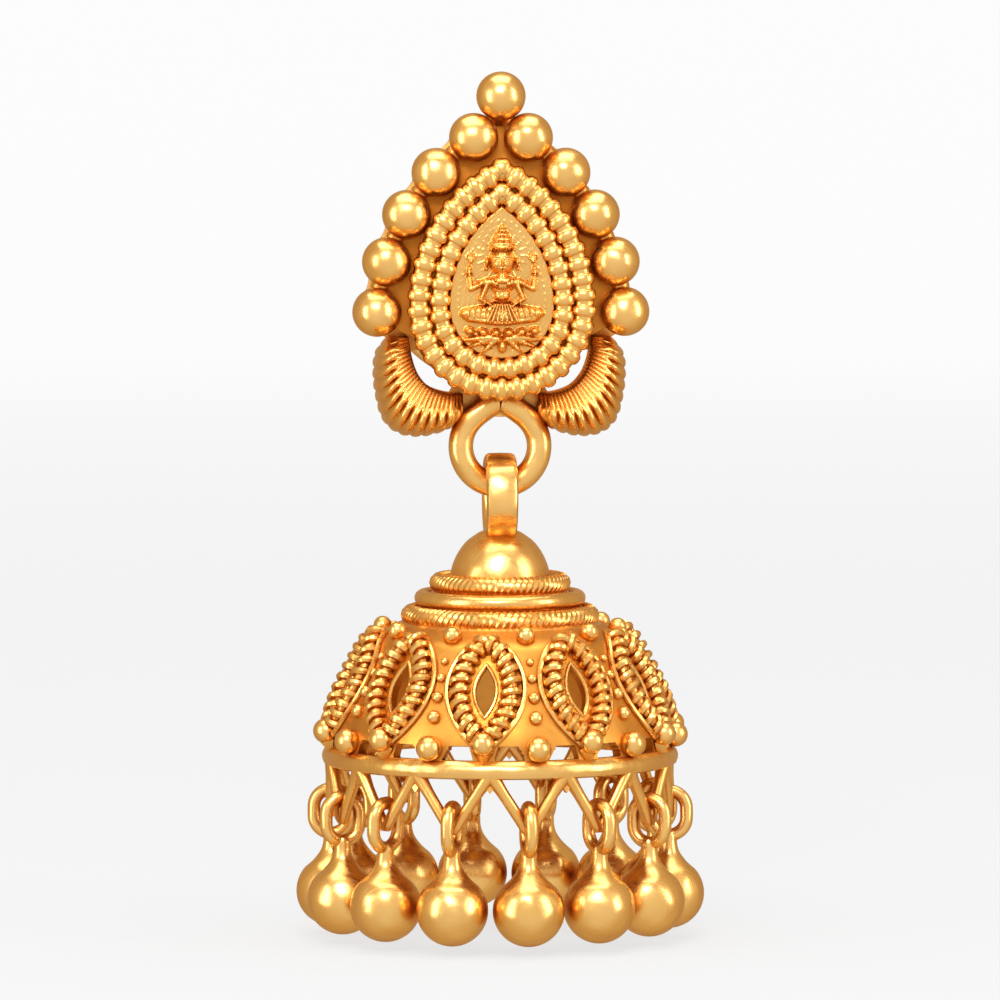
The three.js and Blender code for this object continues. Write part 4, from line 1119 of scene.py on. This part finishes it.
def plainRing():
    # half-round wire whose ends meet in a faint seam
    turns = np.linspace(0, 2 * math.pi, 145)[:-1]
    path = [np.array([bell["plain"] * math.sin(turn), -bell["plain"] * math.cos(turn), plainHeight])
            for turn in turns]
    fromSeam = np.abs((turns - 0.5 + math.pi) % (2 * math.pi) - math.pi)
    radii = bell["plainWire"] / 2 * (1 - 0.07 * np.exp(-(fromSeam / 0.03) ** 2))
    return drawn(path, radii, 20, closed=True, up=(0, 0, 1))


def band():
    outer, foot, top = bandRadius, bandFoot, wallFoot + 0.06
    inner = outer - 0.62
    return turned([(inner, foot + 0.1), (inner + 0.1, foot), (outer - 0.16, foot),
                   (outer - 0.04, foot + 0.06), (outer + 0.01, foot + 0.2), (outer + 0.02, foot + 0.33),
                   (outer - 0.02, foot + 0.46), (outer - 0.1, foot + 0.58), (outer - 0.2, top),
                   (inner + 0.1, top), (inner, top - 0.1)], 168, closed=True)


gallery = {"inset": 0.32, "wire": 0.38, "drop": 1.975, "footRise": 0.2, "corner": 0.056,
           "webHalf": 0.42, "webDrop": 0.58, "webHalfThickness": 0.12}
galleryRadius = bandRadius - gallery["inset"]
strutPoint = bandFoot - gallery["drop"]
halfSpacing = galleryRadius * math.sin(math.pi / bell["drops"])
strutLean = math.atan2(halfSpacing, gallery["drop"] + gallery["footRise"])


def strut():
    # one V, whose legs swell into a small web where they meet the band and their neighbours
    rise = gallery["drop"] + gallery["footRise"]
    right = [(halfSpacing * share, strutPoint + rise * share) for share in (1.0, 0.85, 0.6, 0.3, 0.12)]
    left = [(-x, z) for x, z in reversed(right)]
    line = smoothLine([*right, (0, strutPoint + gallery["corner"]), *left], 40)
    path, radii = [], []
    for x, z in line:
        turn = math.asin(np.clip(x / galleryRadius, -1, 1))
        share = (z - strutPoint) / rise
        path.append((galleryRadius * math.sin(turn), -galleryRadius * math.cos(turn), z))
        radii.append(gallery["wire"] / 2 * (1.12 + 0.5 * max(0, (share - 0.62) / 0.38) ** 1.5))
    # the small three-cornered web between two neighbours, just under the band
    corners = ((-gallery["webHalf"], 0.02), (gallery["webHalf"], 0.02), (0, gallery["webDrop"]))
    web = []
    for depth in (-gallery["webHalfThickness"], gallery["webHalfThickness"]):
        radius = galleryRadius + depth
        for across, down in corners:
            turn = math.pi / bell["drops"] + across / radius
            web.append((radius * math.sin(turn), -radius * math.cos(turn), bandFoot + 0.05 - down))
    faces = [(0, 1, 2), (5, 4, 3), (0, 3, 4, 1), (1, 4, 5, 2), (2, 5, 3, 0)]
    return joinParts([drawn(path, radii, 14), (web, faces)])


loop = {"halfWidth": 0.66, "halfHeight": 0.83, "wire": 0.48, "clearance": 0.085}
drop = {"radius": 1.32, "neckLength": 0.88, "neckRadius": 0.36}


def ballDrop():
    # oval loop of wire, a drawn-out neck and a hollow ball, at the front of the gallery
    seat = (gallery["wire"] + loop["wire"]) / 2 + loop["clearance"]
    loopTop = strutPoint + seat / math.sin(strutLean)
    loopCentre = loopTop - loop["halfHeight"]
    stretch = loop["halfHeight"] - loop["halfWidth"]
    oval = []
    for turn in np.linspace(0, 2 * math.pi, 49)[:-1]:
        rise = loop["halfWidth"] * math.cos(turn) + stretch * np.sign(round(math.cos(turn), 6))
        oval.append(np.array([0, -galleryRadius - loop["halfWidth"] * math.sin(turn), loopCentre + rise]))
    oval = evenly(np.array(oval + [oval[0]]), 49)[:-1]
    parts = [drawn(oval, loop["wire"] / 2, 14, closed=True, up=(1, 0, 0))]
    neckTop = loopCentre - loop["halfHeight"]
    neckFoot = neckTop - drop["neckLength"]
    radius = drop["radius"]
    ballCentre = neckFoot - math.sqrt(radius ** 2 - drop["neckRadius"] ** 2)
    start = math.radians(48)
    neck = smoothLine([(0.24, neckTop + 0.14), (0.3, neckTop), (0.31, neckTop - 0.3),
                       (0.4, neckTop - 0.62), (0.66, neckTop - 0.98),
                       (radius * math.sin(start), ballCentre + radius * math.cos(start))], 18)
    ball = [(radius * math.sin(turn), ballCentre + radius * math.cos(turn))
            for turn in np.linspace(start, math.pi, 26)[1:-1]]
    profile = [(0, neckTop + 0.14)] + [tuple(row) for row in neck] + ball + [(0, ballCentre - radius)]
    parts.append(turned(profile, 40, centre=(0, -galleryRadius, 0)))
    return joinParts(parts)


# rows of granules: share down the wall, share of the way between leaves, radius, how far out
granuleRows = ((1 - 0.5 / wallLength, 0.5, 0.47, 0.2), (0.1, 0.5, 0.34, 0.16), (0.875, 0.0, 0.44, 0.3),
               (0.3, 0.5, 0.15, 0.05), (0.42, 0.5, 0.18, 0.05), (0.56, 0.5, 0.22, 0.05),
               (0.7, 0.5, 0.26, 0.05))


def granules():
    rows = []
    for share, between, radius, out in granuleRows:
        places = [onWall(leafStart + (i + between) * leafStep, share, out) for i in range(bell["leaves"])]
        rows.append(grown("beads", makeMesh("granulePlaces", places, []), gold["burnished"], {
            "Radius": radius, "Segments": 20, "Seed": 7}))
    return mergeMeshes(rows)


def leafCoil():
    # the wound wire of one leaf, on a core that fills it
    sizes = {"half": leaf["half"], "out": leaf["coilOut"], "turnFrom": leaf["endGap"]}
    wound = grown("coil", lineMesh("leafPath", leafPath(120, **sizes)), gold["relief"], {
        "Turns": float(leaf["turns"]), "Coil Radius": leaf["coil"] / 2 - leaf["wire"],
        "Wire Radius": leaf["wire"], "Steps Per Turn": 14, "Wire Sides": 8,
        "Phase": 0.0})
    core = makeMesh("leafCore", *drawn(leafPath(60, **sizes), leaf["coil"] / 2 - leaf["coreInset"], 10))
    outwardNormals(core)
    return mergeMeshes([wound, core])


def leafWire():
    path = leafPath(90, leaf["half"] + leaf["outlineGap"], leaf["outlineOut"], leaf["outlineRise"])[:-1]
    return makeMesh("leafWire", *drawn(path, leaf["outlineWire"], 8, closed=True))


def outwardMesh(name, points, faces):
    mesh = makeMesh(name, points, faces)
    outwardNormals(mesh)
    return mesh


def tipPart():
    # the faceted point that ends each leaf over the band
    centre = onWall(0.0, 0.95, 0.1)
    points = np.array([(0, 0.02, 0.42), (0.4, 0.05, 0.12), (0, 0.1, -0.46), (-0.4, 0.05, 0.12),
                       (0, -0.36, 0.0), (0, 0.3, 0)]) + centre
    faces = [(0, 1, 4), (1, 2, 4), (2, 3, 4), (3, 0, 4), (1, 0, 5), (2, 1, 5), (3, 2, 5), (0, 3, 5)]
    return points, faces


def perLeaf(name, mesh):
    bellPiece(name, setRound(mesh, "relief", bell["leaves"], leafStart), "relief", recalc=False)


# the bell wall takes the darker ground gold, painted shade for the wall lying between the leaves
wall = bellPiece("bellWall", bellWall(), "groundShade", sharpAngle=45)
bellPiece("capShell", capShell(), "relief")
bellPiece("cap", cap(), "burnished")
bellPiece("eyeStrap", eyeStrap(), "burnished")
topRope = ropeRing(bell["topRope"], bell["topRopeWire"], topRopeHeight, bell["topRopeTurns"])
bellPiece("topRope", topRope, "relief", recalc=False)
lowRope = ropeRing(bell["lowRope"], bell["lowRopeWire"], lowRopeHeight, bell["lowRopeTurns"])
bellPiece("lowRope", lowRope, "relief", recalc=False)
bellPiece("plainRing", plainRing(), "burnished")
bellPiece("band", band(), "burnished")
perLeaf("leafCoils", leafCoil())
perLeaf("leafWires", leafWire())
perLeaf("leafLips", makeMesh("leafLip", *drawn(slitPath(), leaf["lipWire"], 8, closed=True)))
bellPiece("granules", granules(), "burnished", recalc=False)
perLeaf("leafTips", outwardMesh("leafTip", *tipPart()))
dropStart = math.radians(bell["dropPhase"])
struts = setRound(outwardMesh("strut", *strut()), "satin", bell["drops"], dropStart)
bellPiece("galleryStruts", struts, "satin", recalc=False)
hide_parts("bell")
dropSet = setRound(outwardMesh("ballDrop", *ballDrop()), "burnished", bell["drops"], dropStart)
dropSet.transform(Matrix.Translation((0, bellAxisY, 0)))
drops = finishPiece("ballDrops", dropSet, gold["burnished"], "bell", recalc=False)
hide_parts(*dropNodes)
print("bell done")


# Stage: a pale round sweep that curves up on all sides, soft boxes, and the camera a little to one side

def paperMaterial(reach):
    # pale paper, lit from within, a little more farther off, so that it stays even up to the top
    material = bpy.data.materials.new("paper")
    material.use_nodes = True
    tree = material.node_tree
    tree.nodes.clear()
    place = addNode(tree, "ShaderNodeTexCoord").outputs["Object"]
    distance = addNode(tree, "ShaderNodeVectorMath", {0: place}, operation="LENGTH").outputs["Value"]
    glow = addNode(tree, "ShaderNodeMapRange", {
        "Value": distance, "From Min": 0, "From Max": reach * millimetre, "To Min": 0.72, "To Max": 0.88})
    surface = addNode(tree, "ShaderNodeBsdfPrincipled", {
        "Base Color": linearColour("#606060"), "Roughness": 0.9, "Specular IOR Level": 0.0,
        "Emission Color": (1, 1, 1, 1), "Emission Strength": glow.outputs["Result"]})
    addNode(tree, "ShaderNodeOutputMaterial", {"Surface": surface.outputs[0]})
    return material


def sweep():
    floorHeight = cadBox[0][2] / millimetre - 0.35
    reach, bend, height = 420, 160, 460
    profile = [(0, 0), (120, 0), (260, 0), (reach, 0)]
    profile += [(reach + bend * math.sin(turn), bend - bend * math.cos(turn))
                for turn in np.radians(np.linspace(7.5, 90, 12))]
    profile.append((reach + bend, height))
    points, faces = turned([(radius, floorHeight + up) for radius, up in profile], 96)
    mesh = makeMesh("sweep", points, faces)
    outwardNormals(mesh)
    mesh.flip_normals()
    mesh.transform(Matrix.Scale(millimetre, 4))
    mesh.materials.append(paperMaterial(reach))
    mesh.polygons.foreach_set("use_smooth", [True] * len(mesh.polygons))
    floor = bpy.data.objects.new("sweep", mesh)
    bpy.context.scene.collection.objects.link(floor)
    floor.visible_glossy = False


def softBox(name, place, target, size, power):
    light = bpy.data.lights.new(name, "AREA")
    light.shape = "RECTANGLE"
    light.size, light.size_y = (edge * millimetre for edge in size)
    light.energy = power
    holder = bpy.data.objects.new(name, light)
    aim = Vector(target) - Vector(place)
    holder.location = Vector(place) * millimetre
    holder.rotation_euler = aim.to_track_quat("-Z", "Y").to_euler()
    bpy.context.scene.collection.objects.link(holder)


def studioWorld():
    # the room as the metal sees it: bright in front, dim and warm behind; the paper sees it plain
    world = bpy.data.worlds.new("studio")
    world.use_nodes = True
    tree = world.node_tree
    tree.nodes.clear()
    direction = addNode(tree, "ShaderNodeTexCoord").outputs["Generated"]
    apart = addNode(tree, "ShaderNodeSeparateXYZ", {0: direction})
    forward = addNode(tree, "ShaderNodeMapRange", {
        "Value": apart.outputs["Y"], "From Min": 0.75, "From Max": -1, "To Min": 0, "To Max": 1})
    ramp = addNode(tree, "ShaderNodeValToRGB", {"Fac": forward.outputs["Result"]})
    behind, front = ramp.color_ramp.elements
    behind.color = (0.52, 0.36, 0.2, 1)
    front.color = (0.95, 0.93, 0.9, 1)
    side = ramp.color_ramp.elements.new(0.5)
    side.color = (0.7, 0.56, 0.38, 1)
    rays = addNode(tree, "ShaderNodeLightPath")
    seen = addNode(tree, "ShaderNodeMix", {
        0: rays.outputs["Is Glossy Ray"], 6: (0.5, 0.5, 0.5, 1), 7: ramp.outputs["Color"]}, data_type="RGBA")
    glow = addNode(tree, "ShaderNodeBackground", {"Color": seen.outputs[2], "Strength": 1.02})
    addNode(tree, "ShaderNodeOutputWorld", {"Surface": glow.outputs[0]})
    return world


sweep()
middle = (0, -1.15, -8.15)
softBox("frontTop", (-30, -150, 110), middle, (100, 70), 0.21)
softBox("leftSide", (-130, -70, 10), middle, (40, 120), 0.085)
softBox("rightSide", (140, -80, 30), middle, (40, 120), 0.1)
softBox("overhead", (0, 0, 150), middle, (160, 110), 0.185)
bpy.context.scene.world = studioWorld()
bpy.context.scene.view_settings.view_transform = "Standard"

cameraData = bpy.data.cameras.new("camera")
cameraData.lens = 300  # mm, as are the sensor width and the distance below
cameraData.sensor_width = 36
cameraData.clip_start = 0.01
camera = bpy.data.objects.new("camera", cameraData)
azimuth, elevation, distance = math.radians(-4), math.radians(4), 310
camera.location = Vector((middle[0] + distance * math.sin(azimuth) * math.cos(elevation),
                          middle[1] - distance * math.cos(azimuth) * math.cos(elevation),
                          middle[2] + distance * math.sin(elevation))) * millimetre
aim = Vector(middle) * millimetre - camera.location
camera.rotation_euler = aim.to_track_quat("-Z", "Y").to_euler()
bpy.context.scene.collection.objects.link(camera)
bpy.context.scene.camera = camera

print("stage done")
